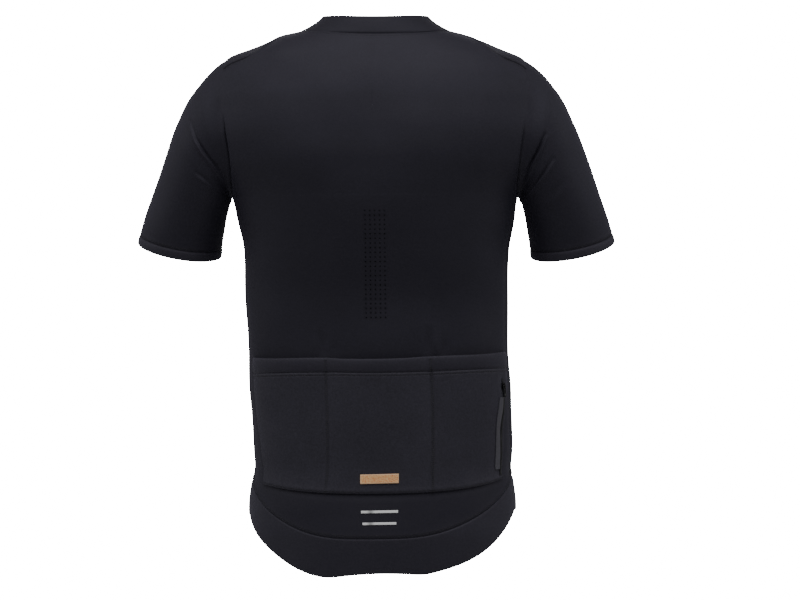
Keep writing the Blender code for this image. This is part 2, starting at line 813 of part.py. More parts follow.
def build_trims(back, pocket, metal, tape, grey, tan, silver):
    tail_row = len(back.points[0]) - 1 - TAIL_ROWS

    def on_tail(z):
        return tail_row + row_at(z, POCKET_BOTTOM[0], HEM_SEAM[0], TAIL_ROWS)

    def on_pocket(z):
        return row_at(z, band_bottom_z(0), POCKET_BOTTOM[0], POCKET_ROWS)

    bar("label", pocket, LABEL, LABEL_Z, on_pocket, tan, LABEL_SHIFT)
    for name, size, z in REFLECTORS:
        bar(name, back, size, z, on_tail, silver)
    patch("pocket_zip", pocket, along(*COIL), COIL_HALF, STRIP_CELLS, tape, COIL_THICK)
    patch("pocket_zip_flap", pocket, along(*FLAP), FLAP_HALF, STRIP_CELLS, grey)

    # The slider rides on the coil, closed at its top
    line = along(*COIL)
    point, normal = on_skin(pocket, *line(POCKET_SLIDER))
    below, _ = on_skin(pocket, *line(POCKET_SLIDER + 0.1))
    place = point + normal * (LAY_GAP + COIL_THICK)
    build_slider("pocket_zip", place, normal, below - point, metal)


# ---------------------------------------------------------------- zip sliders
# A slider is a block with an arch on top. The pull is a plate with an eye, whose crossbar
# lies under the arch and is the axis it swings about.


def zip_frame(place, outward, down):
    """Local axes: X across the zip, Y down along it, Z outwards."""
    outward = outward.normalized()
    down = (down - outward * down.dot(outward)).normalized()
    across = down.cross(outward)
    frame = Matrix((across, down, outward)).transposed().to_4x4()
    frame.translation = place + outward * (SLIDER_GAP + SLIDER_BLOCK[2] + AXIS_OVER_BLOCK)
    return frame


def block(name, size, middle, frame, material):
    bpy.ops.mesh.primitive_cube_add(size=1)
    item = bpy.context.object
    item.name = item.data.name = name
    for vertex in item.data.vertices:
        for axis in range(3):
            vertex.co[axis] = vertex.co[axis] * size[axis] + middle[axis]
    item.matrix_world = frame
    if material:
        item.data.materials.append(material)
    for collection in list(item.users_collection):
        collection.objects.unlink(item)
    (GARMENT if material else CUTTERS).objects.link(item)
    return item


def cut(item, cutter, operation="DIFFERENCE"):
    cutter.hide_render = True
    cutter.display_type = "WIRE"
    modifier = item.modifiers.new(operation.lower(), "BOOLEAN")
    modifier.operation = operation
    modifier.object = cutter


def build_slider(name, place, outward, down, material):
    frame = zip_frame(place, outward, down)
    wide, long, high = SLIDER_BLOCK
    base = block(
        name + "_slider", SLIDER_BLOCK, (0, 0, -AXIS_OVER_BLOCK - high / 2), frame, material
    )
    rise = ARCH_TOP + AXIS_OVER_BLOCK + high / 2
    arch = block(
        name + "_arch", (ARCH_WIDE, ARCH_LONG, rise), (0, 0, ARCH_TOP - rise / 2), frame, None
    )
    space = (2 * wide, ARCH_LONG - 2 * ARCH_LEG, ARCH_TOP - ARCH_LEG + AXIS_OVER_BLOCK)
    under_middle = (0, 0, (ARCH_TOP - ARCH_LEG - AXIS_OVER_BLOCK) / 2)
    under = block(name + "_under_arch", space, under_middle, frame, None)
    cut(base, arch, "UNION")
    cut(base, under)

    plate = (PULL_WIDE, PULL_LONG, PULL_THICK)
    start = -PULL_THICK / 2
    pull = block(name + "_pull", plate, (0, start + PULL_LONG / 2, 0), frame, material)
    eye = block(
        name + "_eye",
        (EYE_WIDE, EYE_END - PULL_THICK / 2, 4 * PULL_THICK),
        (0, (EYE_END + PULL_THICK / 2) / 2, 0),
        frame,
        None,
    )
    cut(pull, eye)


def main():
    cloth = make_material("knit", (0.016, 0.016, 0.019), 0.75)
    band_cloth = make_material("hem_knit", (0.022, 0.021, 0.025), 0.7)
    tape = make_material("zip_tape", (0.012, 0.012, 0.014), 0.6)
    metal = make_material("slider_paint", (0.010, 0.010, 0.012), 0.4)
    grey = make_material("flap", (0.035, 0.035, 0.040), 0.5)
    tan = make_material("patch", (0.43, 0.23, 0.12), 0.7)
    silver = make_material("reflective", (0.45, 0.45, 0.46), 0.35, 0.6)

    back = body_wall("back", back_grid(), cloth)
    for side, word in ((1, "left"), (-1, "right")):
        body_wall("front_" + word, front_grid(side), cloth)
        build_sleeve(side, cloth, band_cloth)
    build_collar(band_cloth)
    build_front_zip(tape)
    pocket = build_pockets(cloth, band_cloth)

    shares = [column / COLUMNS for column in range(-COLUMNS, COLUMNS + 1)]
    hem = band_grid(shares, hem_seam_z, tail_z, HEM_ROWS_BACK)
    body_wall("hem_back", hem, band_cloth, "lrt")
    for side, word in ((1, "left"), (-1, "right")):
        half = [side * max(column / COLUMNS, 1e-9) for column in range(COLUMNS + 1)]
        columns = band_grid(
            half, front_seam_z, front_hem_z, HEM_ROWS_FRONT, back=False, start=FRONT_EDGE
        )
        body_wall("hem_front_" + word, columns, band_cloth, "rt")

    build_trims(back, pocket, metal, tape, grey, tan, silver)
    top, below = (on_section(0.0, z, False) for z in (FRONT_SLIDER_Z, FRONT_SLIDER_Z - 0.01))
    build_slider("front_zip", top, body_normal(top), below - top, metal)


def make_material(name, colour, rough, metal=0.0):
    material = bpy.data.materials.new(name)
    material.use_nodes = True
    shader = material.node_tree.nodes["Principled BSDF"]
    shader.inputs["Base Color"].default_value = (*colour, 1.0)
    shader.inputs["Roughness"].default_value = rough
    shader.inputs["Metallic"].default_value = metal
    return material


for item in list(bpy.data.objects):
    bpy.data.objects.remove(item, do_unlink=True)
GARMENT = bpy.data.collections.new("cycling_jersey")
CUTTERS = bpy.data.collections.new("cutters")
for collection in (GARMENT, CUTTERS):
    bpy.context.scene.collection.children.link(collection)
main()
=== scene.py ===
# %% [markdown]
# # A cycling jersey, as worn but empty
#
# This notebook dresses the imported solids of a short-sleeved cycling jersey. Each rigid wall is
# replaced by a thin shell of knit with seams, creases and stitches. The wearer would face -Y,
# with the left arm at +X, and the back with its three pockets looks towards +Y.

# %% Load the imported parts
import json
import math
from collections import namedtuple
from functools import partial

import bmesh
import bpy
import numpy as np
from mathutils import Matrix, Vector

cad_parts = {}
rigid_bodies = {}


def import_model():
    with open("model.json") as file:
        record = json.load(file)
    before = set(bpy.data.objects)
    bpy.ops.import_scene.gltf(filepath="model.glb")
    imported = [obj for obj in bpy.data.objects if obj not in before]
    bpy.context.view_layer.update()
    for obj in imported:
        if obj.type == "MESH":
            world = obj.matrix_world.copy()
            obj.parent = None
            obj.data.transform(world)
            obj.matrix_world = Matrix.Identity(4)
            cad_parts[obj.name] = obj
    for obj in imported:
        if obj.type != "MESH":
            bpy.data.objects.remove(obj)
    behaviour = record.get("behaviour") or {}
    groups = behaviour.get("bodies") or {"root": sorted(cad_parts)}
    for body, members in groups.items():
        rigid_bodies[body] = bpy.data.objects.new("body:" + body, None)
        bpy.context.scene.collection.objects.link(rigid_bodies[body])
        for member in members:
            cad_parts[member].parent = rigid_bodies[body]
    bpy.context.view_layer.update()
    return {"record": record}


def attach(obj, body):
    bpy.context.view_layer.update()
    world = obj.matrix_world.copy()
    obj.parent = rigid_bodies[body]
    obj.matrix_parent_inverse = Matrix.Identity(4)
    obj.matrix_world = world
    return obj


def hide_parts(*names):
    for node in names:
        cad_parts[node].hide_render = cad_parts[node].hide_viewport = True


for item in list(bpy.data.objects):
    bpy.data.objects.remove(item)
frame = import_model()

# %% [markdown]
# ## The figure under the cloth
#
# A worn jersey has the shape of the body in it. That shape is a stack of level ovals. A table
# gives each oval's half width, its depth behind and in front, how square its corners are, and
# how far it leans to one side. A smooth curve runs through each column of the table, so that
# the surface can be read at any height, with as many points as a fold needs.

# %% The table of sections
# z, half width, depth behind, depth in front, roundness, lean
SECTIONS = np.array(
    [
        (0.0500, 0.0300, 0.030, 0.036, 2.00, 0.0),
        (0.0185, 0.0722, 0.044, 0.050, 2.00, 0.0),
        (0.0026, 0.0950, 0.051, 0.058, 2.00, 0.0),
        (-0.0026, 0.1115, 0.055, 0.058, 2.00, 0.0),
        (-0.0158, 0.1489, 0.064, 0.062, 2.00, 0.0),
        (-0.0369, 0.1942, 0.076, 0.069, 2.10, 0.0),
        (-0.0600, 0.2110, 0.087, 0.077, 2.25, 0.0),
        (-0.0900, 0.2210, 0.098, 0.092, 2.42, 0.0),
        (-0.1300, 0.2240, 0.108, 0.109, 2.52, 0.0),
        (-0.1700, 0.2130, 0.114, 0.119, 2.45, 0.0),
        (-0.2000, 0.1965, 0.115, 0.123, 2.34, 0.0),
        (-0.2190, 0.1885, 0.1145, 0.1235, 2.30, 0.0),
        (-0.2480, 0.1828, 0.1125, 0.1225, 2.30, -0.0008),
        (-0.2902, 0.1750, 0.108, 0.119, 2.30, -0.0012),
        (-0.3535, 0.1729, 0.1002, 0.114, 2.30, -0.0015),
        (-0.4168, 0.1710, 0.1046, 0.112, 2.30, -0.0036),
        (-0.4696, 0.1730, 0.1088, 0.113, 2.30, -0.0066),
        (-0.5118, 0.1712, 0.1128, 0.114, 2.30, -0.0088),
        (-0.5500, 0.1704, 0.1163, 0.115, 2.30, -0.0097),
        (-0.5720, 0.1690, 0.1182, 0.1155, 2.30, -0.0098),
        (-0.5962, 0.1730, 0.1216, 0.116, 2.30, -0.0096),
        (-0.6300, 0.1762, 0.1289, 0.117, 2.30, -0.0096),
        (-0.6620, 0.1762, 0.1343, 0.117, 2.30, -0.0096),
        (-0.7200, 0.1762, 0.1347, 0.117, 2.30, -0.0096),
    ]
)[::-1]
WIDEST_Z = -0.130
print("sections:", len(SECTIONS), "from", SECTIONS[0, 0], "to", SECTIONS[-1, 0])


# %% Smooth curves through the columns of the table
def bend(first, leave, last, arrive, t):
    """A cubic curve from first to last, with the slopes leave and arrive."""
    return (
        first * (1 + 2 * t) * (1 - t) ** 2
        + leave * t * (1 - t) ** 2
        + last * t * t * (3 - 2 * t)
        - arrive * t * t * (1 - t)
    )


def through(knots, values):
    """A smooth curve through a column of a table, which never swings past its values."""
    widths, slopes = np.diff(knots), np.diff(values) / np.diff(knots)
    tangents = np.zeros(len(knots))
    tangents[0], tangents[-1] = slopes[0], slopes[-1]
    for i in range(1, len(slopes)):
        if slopes[i - 1] * slopes[i] > 0:
            tangents[i] = 2 / (1 / slopes[i - 1] + 1 / slopes[i])

    def at(place):
        place = np.clip(place, knots[0], knots[-1])
        i = np.clip(np.searchsorted(knots, place) - 1, 0, len(widths) - 1)
        leave, arrive = tangents[i] * widths[i], tangents[i + 1] * widths[i]
        return bend(values[i], leave, values[i + 1], arrive, (place - knots[i]) / widths[i])

    return at


half_width, depth_back, depth_front, roundness, lean = (
    through(SECTIONS[:, 0], SECTIONS[:, column]) for column in range(1, 6)
)


def ease(value, start, end):
    """0 before start, 1 after end, and smooth between them."""
    t = np.clip((value - start) / (end - start), 0.0, 1.0)
    return t * t * (3 - 2 * t)


def hump(value, width):
    """1 at zero, falling away over about this width on both sides."""
    return np.exp(-((value / width) ** 2))


# %% The shoulder ridge, read from a finely spaced table
RIDGE_X = np.linspace(0, half_width(WIDEST_Z), 4000)


def find_ridge(x):
    low, high = np.full_like(x, WIDEST_Z), np.full_like(x, SECTIONS[-1, 0])
    for _ in range(40):
        middle = (low + high) / 2
        wider = half_width(middle) > x
        low, high = np.where(wider, middle, low), np.where(wider, high, middle)
    return (low + high) / 2


RIDGE_Z = find_ridge(RIDGE_X)


def ridge_z(x):
    return np.interp(np.abs(x), RIDGE_X, RIDGE_Z)


print("the ridge falls to", round(float(ridge_z(0.2)), 4), "at 0.2 m from the middle")

# %% Points and normals on the figure
def on_section(angle, z, back):
    """The angle runs from the middle of the back, or of the front, towards +X."""
    power = 2 / roundness(z)
    behind = (np.cos(angle) > 0) == back
    depth = np.where(behind, depth_back(z), depth_front(z))
    x = half_width(z) * np.abs(np.sin(angle)) ** power * np.sign(np.sin(angle)) + lean(z)
    y = depth * np.abs(np.cos(angle)) ** power * np.sign(np.cos(angle))
    return np.stack(np.broadcast_arrays(x, np.where(back, y, -y), z), -1)


def over_shoulder(x, rise):
    """A point rise squared below the ridge: behind it where rise is positive, else in front."""
    z = ridge_z(x) - rise * rise
    power = roundness(z)
    depth = np.where(rise > 0, depth_back(z), depth_front(z))
    inside = np.maximum(0.0, 1 - (np.abs(x) / half_width(z)) ** power) ** (1 / power)
    return np.stack(np.broadcast_arrays(x, depth * inside * np.sign(rise), z), -1)


def girth(z):
    """The length round the figure at this height."""
    quarter = np.linspace(-math.pi / 2, math.pi / 2, 400)
    halves = [on_section(quarter, np.full_like(quarter, z), back) for back in (True, False)]
    return sum(np.linalg.norm(np.diff(half, axis=0), axis=1).sum() for half in halves)


print("round the chest:", round(girth(-0.2190), 3), "and the waist:", round(girth(-0.3535), 3))


def roundness_field(points):
    """1 on the figure's surface, less inside and more outside."""
    x, y, z = np.moveaxis(points, -1, 0)
    power = roundness(z)
    depth = np.where(y > 0, depth_back(z), depth_front(z))
    return (np.abs(x - lean(z)) / half_width(z)) ** power + (np.abs(y) / depth) ** power


def unit(vectors):
    return vectors / (np.linalg.norm(vectors, axis=-1, keepdims=True) + 1e-12)


def figure_normals(points, step=0.0004):
    slopes = []
    for axis in np.eye(3) * step:
        slopes.append(roundness_field(points + axis) - roundness_field(points - axis))
    return unit(np.stack(slopes, -1))


# %% [markdown]
# ## Where the panels meet
#
# A jersey is cut from a back, two fronts and two sleeves. The shoulder seam lies a little behind
# the ridge, and the armhole is an upright arc that curves in under the arm. The tail drops in a
# curve behind and is short in front. Every edge is a curve in named sizes, and both panels that
# meet there read the same curve, so their seam closes.

# %% The seams' sizes
SEAM_GAP = 0.0003
WALL = 0.0015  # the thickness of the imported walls
LAY_GAP = 0.0006  # under a piece that lies on a panel
NECK_HALF = 0.100
NECK_BACK, NECK_FRONT = (-0.0058, 3.0), (-0.060, 1.7)  # height at the middle, and a power
ARMHOLE_X = 0.197
ARMPIT = (0.1885, -0.219)
YOKE_Z = -0.100  # rows above this height run over the shoulder
SEAM_BEHIND_RIDGE = 0.0130
SEAM_DROP_FROM, SEAM_DROP_OVER = 0.115, 0.060  # the seam leaves the ridge from this x, over this
SIDE_SEAM_ANGLE, SIDE_SEAM_FULL_Z = math.radians(80), -0.26
POCKET_BOTTOM = (-0.6026, 0.0222, 2.0)  # height at the middle, rise to the sides, power
# The hem's edges: height at the middle, rise for a whole half, and how much of it stays level
HEM_SEAM = (-0.6602, 0.118, 0.40)
TAIL = (-0.7060, 0.139, 0.50)
TAIL_SHIFT = 0.03  # the lowest place lies this share to the left of the middle
POCKET_MOUTH_Z, POCKET_BAND = -0.4285, 0.020
TAIL_TILT, TILT_FROM, TILT_FULL = 0.0035, -0.30, -0.43
ZIP_HALF = 0.0050
FRONT_EDGE = ZIP_HALF + SEAM_GAP
SIDES = {"left": 1, "right": -1}


# %% Where the hems, the side seams and the armholes run
def pocket_bottom(share):
    middle, rise, power = POCKET_BOTTOM
    return middle + rise * np.abs(share) ** power


def swept_edge(edge, share):
    middle, rise, level = edge
    away = np.abs(share - TAIL_SHIFT * (1 - share**2))
    return middle + rise * ((away**3 + level**3) ** (1 / 3) - level)


hem_seam, tail_edge = partial(swept_edge, HEM_SEAM), partial(swept_edge, TAIL)


def tilted(z, share):
    """The tail hangs a little lower at the wearer's left."""
    return z - TAIL_TILT * share * ease(z, TILT_FROM, TILT_FULL)


def armhole_x(z):
    return ARMPIT[0] + (ARMHOLE_X - ARMPIT[0]) * ease(z, ARMPIT[1], YOKE_Z)


def angle_at(x, z):
    """The angle at which the oval at this height is x away from its own middle."""
    return np.arcsin(np.minimum(1.0, np.abs(x) / half_width(z)) ** (roundness(z) / 2))


def edge_angle(z, back):
    """Where a panel ends: at the armhole, or below it at the side seam."""
    turn = (math.pi / 2 - SIDE_SEAM_ANGLE) * ease(z, ARMPIT[1], SIDE_SEAM_FULL_Z)
    side_seam = math.pi / 2 - np.where(back, turn, -turn)
    return np.where(z >= ARMPIT[1], angle_at(armhole_x(z), z), side_seam)


def share_at(x, z):
    """The share of the way from the back's middle to its side, at this x from the middle."""
    return np.sign(x) * angle_at(x, z) / edge_angle(z, True)


def body_at(share, z, back, start=0.0):
    """A point a share of the way from the panel's middle, or from start, to its side."""
    begin = angle_at(start, z)
    angle = begin + np.abs(share) * (edge_angle(z, back) - begin)
    return on_section(np.where(share < 0, -angle, angle), z, back)


def hung_at(share, z, back=True, start=0.0):
    """The same point, with the tail's tilt."""
    return body_at(share, tilted(z, share), back, start)


def settle(share_of, first_z, top, bottom, steps):
    """Shares and heights between two curved edges, on lines whose share changes with height."""
    share = share_of(first_z)
    for _ in range(3):
        z = top(share) + (bottom(share) - top(share)) * steps
        share = share_of(z)
    return share, z


# %% The yoke: from the neck and shoulder seam down to the yoke line
def neck_rise(x, back):
    side_z = ridge_z(NECK_HALF)
    middle_z, power = NECK_BACK if back else NECK_FRONT
    share = np.sqrt(np.maximum(0.0, 1 - (x / NECK_HALF) ** 2))
    rise = np.sqrt(np.maximum(0.0, ridge_z(x) - side_z - (middle_z - side_z) * share**power))
    return rise if back else -rise


def yoke(share, down, back):
    """A point at share of the way to the side, and down from the upper edge to the yoke line."""
    share = np.abs(share)
    start = 0.0 if back else FRONT_EDGE
    neck_x = np.maximum(NECK_HALF * np.sin(math.pi * np.minimum(share, 0.5)), start)
    seam_x = NECK_HALF + (ARMHOLE_X - NECK_HALF) * (2 * share - 1)
    by_neck = share <= 0.5
    drop = np.sin(math.pi / 2 * np.clip((seam_x - SEAM_DROP_FROM) / SEAM_DROP_OVER, 0, 1))
    seam_rise = math.sqrt(SEAM_BEHIND_RIDGE) * drop
    top_x = np.where(by_neck, neck_x, seam_x)
    top_rise = np.where(by_neck, neck_rise(np.minimum(neck_x, NECK_HALF), back), seam_rise)
    low_x = body_at(share, YOKE_Z, back, start)[..., 0]
    low_rise = np.sqrt(ridge_z(low_x) - YOKE_Z) * (1 if back else -1)
    x = top_x + (low_x - top_x) * down
    return over_shoulder(x, top_rise + (low_rise - top_rise) * down)


# %% [markdown]
# ## A panel as a grid
#
# Cloth is best modelled as a grid of points that follows the grain: columns run down the panel
# and rows run across it. A seam's roll is only a few millimetres wide, so the grid has extra
# lines beside each seam, and even lines elsewhere. The grid also carries the cloth's own
# coordinates in metres, as its UV map, which the knit pattern reads.

# %% Lines across a panel, closer beside a seam
SEAM_LINES = np.array([0.0007, 0.0016, 0.0028, 0.0044])


def spaced(count, length, seam_first=False, seam_last=False):
    """Places from 0 to 1 over this length, with extra ones beside a seam at either end."""
    near = SEAM_LINES / length
    low = near if seam_first else np.zeros(0)
    high = 1 - near[::-1] if seam_last else np.zeros(0)
    first = low[-1] if seam_first else 0.0
    last = high[0] if seam_last else 1.0
    even = np.linspace(first, last, count + 1)
    return np.unique(np.round(np.concatenate([[0.0], low, even, high, [1.0]]), 9))


Panel = namedtuple("Panel", "points normals cloth")  # by column and row


def cloth_coordinates(points, closed=False):
    """Metres across and down the cloth, measured along the middle row and column."""
    count = len(points)
    ring = np.concatenate([points, points[:1]]) if closed else points
    across = np.linalg.norm(np.diff(ring[:, ring.shape[1] // 2], axis=0), axis=1)
    down = np.linalg.norm(np.diff(points, axis=1), axis=2).mean(axis=0)
    u = np.concatenate([[0], np.cumsum(across)])[: count + closed]
    v = np.concatenate([[0], np.cumsum(down)])
    return np.stack(np.meshgrid(u, v, indexing="ij"), -1)


def as_panel(points, normals, rise=None):
    """A panel of these points, or of points that stand this much off them."""
    moved = points if rise is None else points + normals * rise[..., None]
    return Panel(moved, normals, cloth_coordinates(points))


def from_edge(points, side):
    """How far each point is from an edge of the grid, along its own line."""
    axis = 1 if side in "tb" else 0
    steps = np.linalg.norm(np.diff(points, axis=axis), axis=2)
    if side in "br":
        steps = np.flip(steps, axis)
    far = np.cumsum(steps, axis=axis)
    far = np.concatenate([np.zeros_like(np.take(far, [0], axis)), far], axis=axis)
    return np.flip(far, axis) if side in "br" else far


# %% [markdown]
# ## Creases and seam rolls
#
# Knit on a body hangs smooth, but it folds where the arm joins, and every seam pulls it in a
# little. A crease is a polyline on the cloth with a depth and a width. Points near it move in,
# and those on one side of it rise as a soft lip. The folds are placed one by one, uneven, with
# similar ones on the front. Beside a seam the cloth dips and then rolls up again.

# %% The creases. Places are (x, z) in metres; facing is 1 for the back and -1 for the front
Crease = namedtuple("Crease", "facing depth width lip places")
CREASES = [
    Crease(
        1, 0.0021, 0.0019, 0.9,
        [(0.2405, -0.118), (0.2318, -0.144), (0.2225, -0.159), (0.2080, -0.1775), (0.1950, -0.194)],
    ),
    Crease(1, 0.0012, 0.0024, 0.7, [(0.2325, -0.1865), (0.2190, -0.1965), (0.2055, -0.208)]),
    Crease(
        1, 0.0034, 0.0019, -0.4,
        [(-0.2230, -0.137), (-0.2143, -0.158), (-0.2040, -0.177), (-0.1950, -0.197)],
    ),
    Crease(
        1, 0.0022, 0.0022, -0.6,
        [(-0.2330, -0.169), (-0.2210, -0.188), (-0.2080, -0.204), (-0.1995, -0.215)],
    ),
    Crease(1, 0.0010, 0.0050, -0.5, [(-0.2480, -0.196), (-0.2350, -0.212), (-0.2200, -0.226)]),
    Crease(1, 0.0015, 0.0050, 0.5, [(0.0655, -0.398), (0.0640, -0.426)]),
    Crease(1, 0.0016, 0.0050, -0.6, [(-0.0715, -0.394), (-0.0730, -0.426)]),
    Crease(1, 0.0007, 0.0060, 0.6, [(0.0480, -0.408), (0.0520, -0.427)]),
    Crease(1, 0.0013, 0.0060, 0.6, [(-0.0930, -0.404), (-0.0890, -0.427)]),
    Crease(
        -1, 0.0030, 0.0055, 0.8,
        [(0.2440, -0.125), (0.2330, -0.152), (0.2170, -0.172), (0.1990, -0.188)],
    ),
    Crease(-1, 0.0017, 0.0065, 0.5, [(0.2440, -0.182), (0.2280, -0.198), (0.2120, -0.211)]),
    Crease(
        -1, 0.0027, 0.0055, -0.8,
        [(-0.2410, -0.118), (-0.2320, -0.144), (-0.2180, -0.168), (-0.2010, -0.185)],
    ),
    Crease(-1, 0.0015, 0.0065, -0.5, [(-0.2480, -0.176), (-0.2300, -0.194), (-0.2120, -0.207)]),
]
print("creases:", len(CREASES))

# %% How far a crease pulls the cloth in
FACING = (-0.05, 0.35)  # a crease fades out where the cloth turns to the other side
LIP_AWAY, LIP_WIDTH = 1.9, 1.1  # of the lip, in widths of its crease


def crease_lift(points, normals):
    lift = np.zeros(points.shape[:-1])
    flat = points[..., [0, 2]]
    for crease in CREASES:
        facing = ease(normals[..., 1] * crease.facing, *FACING)
        nearest = np.full(lift.shape, 1.0)
        side, along = np.zeros_like(lift), np.zeros_like(lift)
        places = np.array(crease.places)
        for i, (start, end) in enumerate(zip(places[:-1], places[1:])):
            way = end - start
            t = np.clip(((flat - start) @ way) / (way @ way), 0, 1)
            away = flat - start - t[..., None] * way
            distance = np.linalg.norm(away, axis=-1)
            closer = distance < nearest
            cross = way[0] * away[..., 1] - way[1] * away[..., 0]
            nearest = np.where(closer, distance, nearest)
            side = np.where(closer, np.sign(cross), side)
            along = np.where(closer, (i + t) / (len(places) - 1), along)
        taper = np.sin(math.pi * np.clip(0.04 + 0.92 * along, 0, 1)) ** 0.6
        trough = hump(nearest, crease.width)
        past_lip = nearest * side * np.sign(crease.lip) - LIP_AWAY * crease.width
        ridge = hump(past_lip, LIP_WIDTH * crease.width)
        lift += crease.depth * taper * facing * (abs(crease.lip) * ridge - trough)
    return lift


# Each fullness: its height, the x of its middle, its width, and where it starts and is whole
CAP_FULLNESS = (0.0016, ARMHOLE_X, 0.016, -0.080, -0.050)
NECK_FULLNESS = (0.0022, 0.123, 0.017, -0.060, -0.020)


def cap_fullness(points):
    """The cloth stands up a little over the ends of the shoulders and left of the neck."""
    x, z = points[..., 0], points[..., 2]
    both = ((np.abs(x), CAP_FULLNESS), (x, NECK_FULLNESS))
    return sum(
        height * hump(where - middle, width) * ease(z, start, whole)
        for where, (height, middle, width, start, whole) in both
    )


# %% Slow waves of a hand's width, and the valley where the arm joins
WAVES = [  # a direction in radians a metre, a phase, and a height in metres
    ((38, 22, 31), 0.4, 0.00035),
    ((-27, 35, 44), 1.9, 0.00030),
    ((61, -18, 25), 3.1, 0.00022),
    ((-16, 48, -70), 5.0, 0.00018),
    ((83, 30, -52), 2.2, 0.00010),
]


def slow_waves(points):
    return sum(height * np.sin(points @ np.array(way) + phase) for way, phase, height in WAVES)


# Depths, widths, and the heights from which the cloth starts to sink and is fully in
VALLEY_DEPTH, VALLEY_WIDTH, VALLEY_STARTS = 0.0024, 0.0075, (-0.115, -0.165)
CREASE_DEPTH, CREASE_WIDTH, CREASE_STARTS = 0.0024, 0.0012, (-0.108, -0.128)
ARMPIT_FADE, ARMPIT_FADES = 0.8, (-0.205, -0.245)
RIGHT_FAINT = 0.75
SEAM_STARTS = (-0.140, -0.116)  # the armhole seam can't be seen above the second height
DIP, DIP_WIDTH = 0.0008, 0.0012  # at a seam
ROLL, ROLL_WIDTH, ROLL_AWAY = 0.00045, 0.0019, 0.0032  # beside it


def valley_lift(distance, points, seam_height):
    """The cloth sinks towards the armhole seam, more and more down to the armpit.

    The sharp crease at the seam is faint on the right of the back, which folds beside it.
    """
    fade = 1 - ARMPIT_FADE * ease(seam_height, *ARMPIT_FADES)
    soft = VALLEY_DEPTH * hump(distance, VALLEY_WIDTH) * ease(seam_height, *VALLEY_STARTS)
    sharp = CREASE_DEPTH * hump(distance, CREASE_WIDTH) * ease(seam_height, *CREASE_STARTS)
    sharp *= 1 - RIGHT_FAINT * ((points[..., 0] < 0) & (points[..., 1] > 0))
    return -fade * (soft + sharp)


def cap_share(seam_height):
    """None of the seam shows over the shoulder, and all of it does lower down."""
    return 1 - ease(seam_height, *SEAM_STARTS)


def seam_roll(distance):
    return ROLL * hump(distance - ROLL_AWAY, ROLL_WIDTH) - DIP * hump(distance, DIP_WIDTH)


# %% [markdown]
# ## From a grid to a shell
#
# One function turns a grid into a thin closed shell. For each column, one loop of points runs
# down the outside, round the lower rim, up the inside and round the upper rim. Rims that show
# are rounded, as a folded hem is. Perforations are cut as real holes: around each hole's middle
# four cells are left out, and a ring of faces joins the gap to a round rim.

# %% The rims and the ends of a shell
RIM_STEPS = 3
HOLE_SIDES = 16


def rim_points(start, end, outward, rounded):
    """Points of a half circle from one edge to the other, bulging outwards."""
    if not rounded:
        return np.zeros((len(start), 0, 3))
    turns = np.linspace(0, math.pi, RIM_STEPS + 2)[1:-1]
    middle, reach = (start + end) / 2, (start - end) / 2
    size = np.linalg.norm(reach, axis=-1, keepdims=True)
    steps = [middle + reach * math.cos(t) + outward * size * math.sin(t) for t in turns]
    return np.stack(steps, 1)


def end_caps(rows, low, top):
    """The faces that close one end of a loop, each with the place its UV is read from."""
    inner = rows + low
    caps = [((j, j + 1, inner + rows - 2 - j, inner + rows - 1 - j), j) for j in range(rows - 1)]
    if low:
        caps.append((range(rows - 1, inner + 1), rows - 1))
    if top:
        caps.append(([*range(inner + rows - 1, inner + rows + top), 0], 0))
    return caps


# %% Make a shell
def shell(name, panel, thickness, round_top=False, round_bottom=False, closed=False, holes=()):
    """Builds the mesh. holes are (column, row) of grid points where a hole is centred."""
    outer = panel.points
    inner = outer - panel.normals * thickness
    columns, rows = outer.shape[:2]
    low = rim_points(outer[:, -1], inner[:, -1], unit(outer[:, -1] - outer[:, -2]), round_bottom)
    top = rim_points(inner[:, 0], outer[:, 0], unit(outer[:, 0] - outer[:, 1]), round_top)
    loops = np.concatenate([outer, low, inner[:, ::-1], top], axis=1)
    length = loops.shape[1]
    u, v = np.moveaxis(panel.cloth, 2, 0)
    low_v = np.repeat(v[:, -1:], low.shape[1], axis=1)
    top_v = np.repeat(v[:, :1], top.shape[1], axis=1)
    loop_v = np.concatenate([v, low_v, v[:, ::-1], top_v], axis=1)

    def vertex(i, j, inside=False):
        return i * length + (2 * rows + low.shape[1] - 1 - j if inside else j)

    left_out = set()
    for i, j in holes:
        for column in (i - 1, i):
            for row in (j - 1, j):
                left_out |= {vertex(column, row), vertex(column, row + 1, inside=True)}
    faces, corners = [], []
    for i in range(columns if closed else columns - 1):
        k = (i + 1) % columns
        for j in range(length):
            if i * length + j in left_out:
                continue
            m = (j + 1) % length
            faces.append((i * length + j, i * length + m, k * length + m, k * length + j))
            corners += [(i, j), (i, m), (i + 1, m), (i + 1, j)]
    if not closed:
        for i in (0, columns - 1):
            for loop, j in end_caps(rows, low.shape[1], top.shape[1]):
                face = tuple(i * length + place for place in loop)
                faces.append(face[::-1] if i else face)
                corners += [(i, j)] * len(face)
    points = [tuple(p) for p in loops.reshape(-1, 3)]
    uv = [(u[i, 0], loop_v[min(i, columns - 1), j]) for i, j in corners]
    for i, j in holes:
        punch(points, faces, uv, panel, inner, (i, j), vertex)
    return make_mesh(name, points, faces, uv)


# %% Punch a hole, and make the object
AROUND = [(-1, -1), (0, -1), (1, -1), (1, 0), (1, 1), (0, 1), (-1, 1), (-1, 0)]
HOLE_TURNS = [2 * math.pi * s / HOLE_SIDES - 3 * math.pi / 4 for s in range(HOLE_SIDES)]


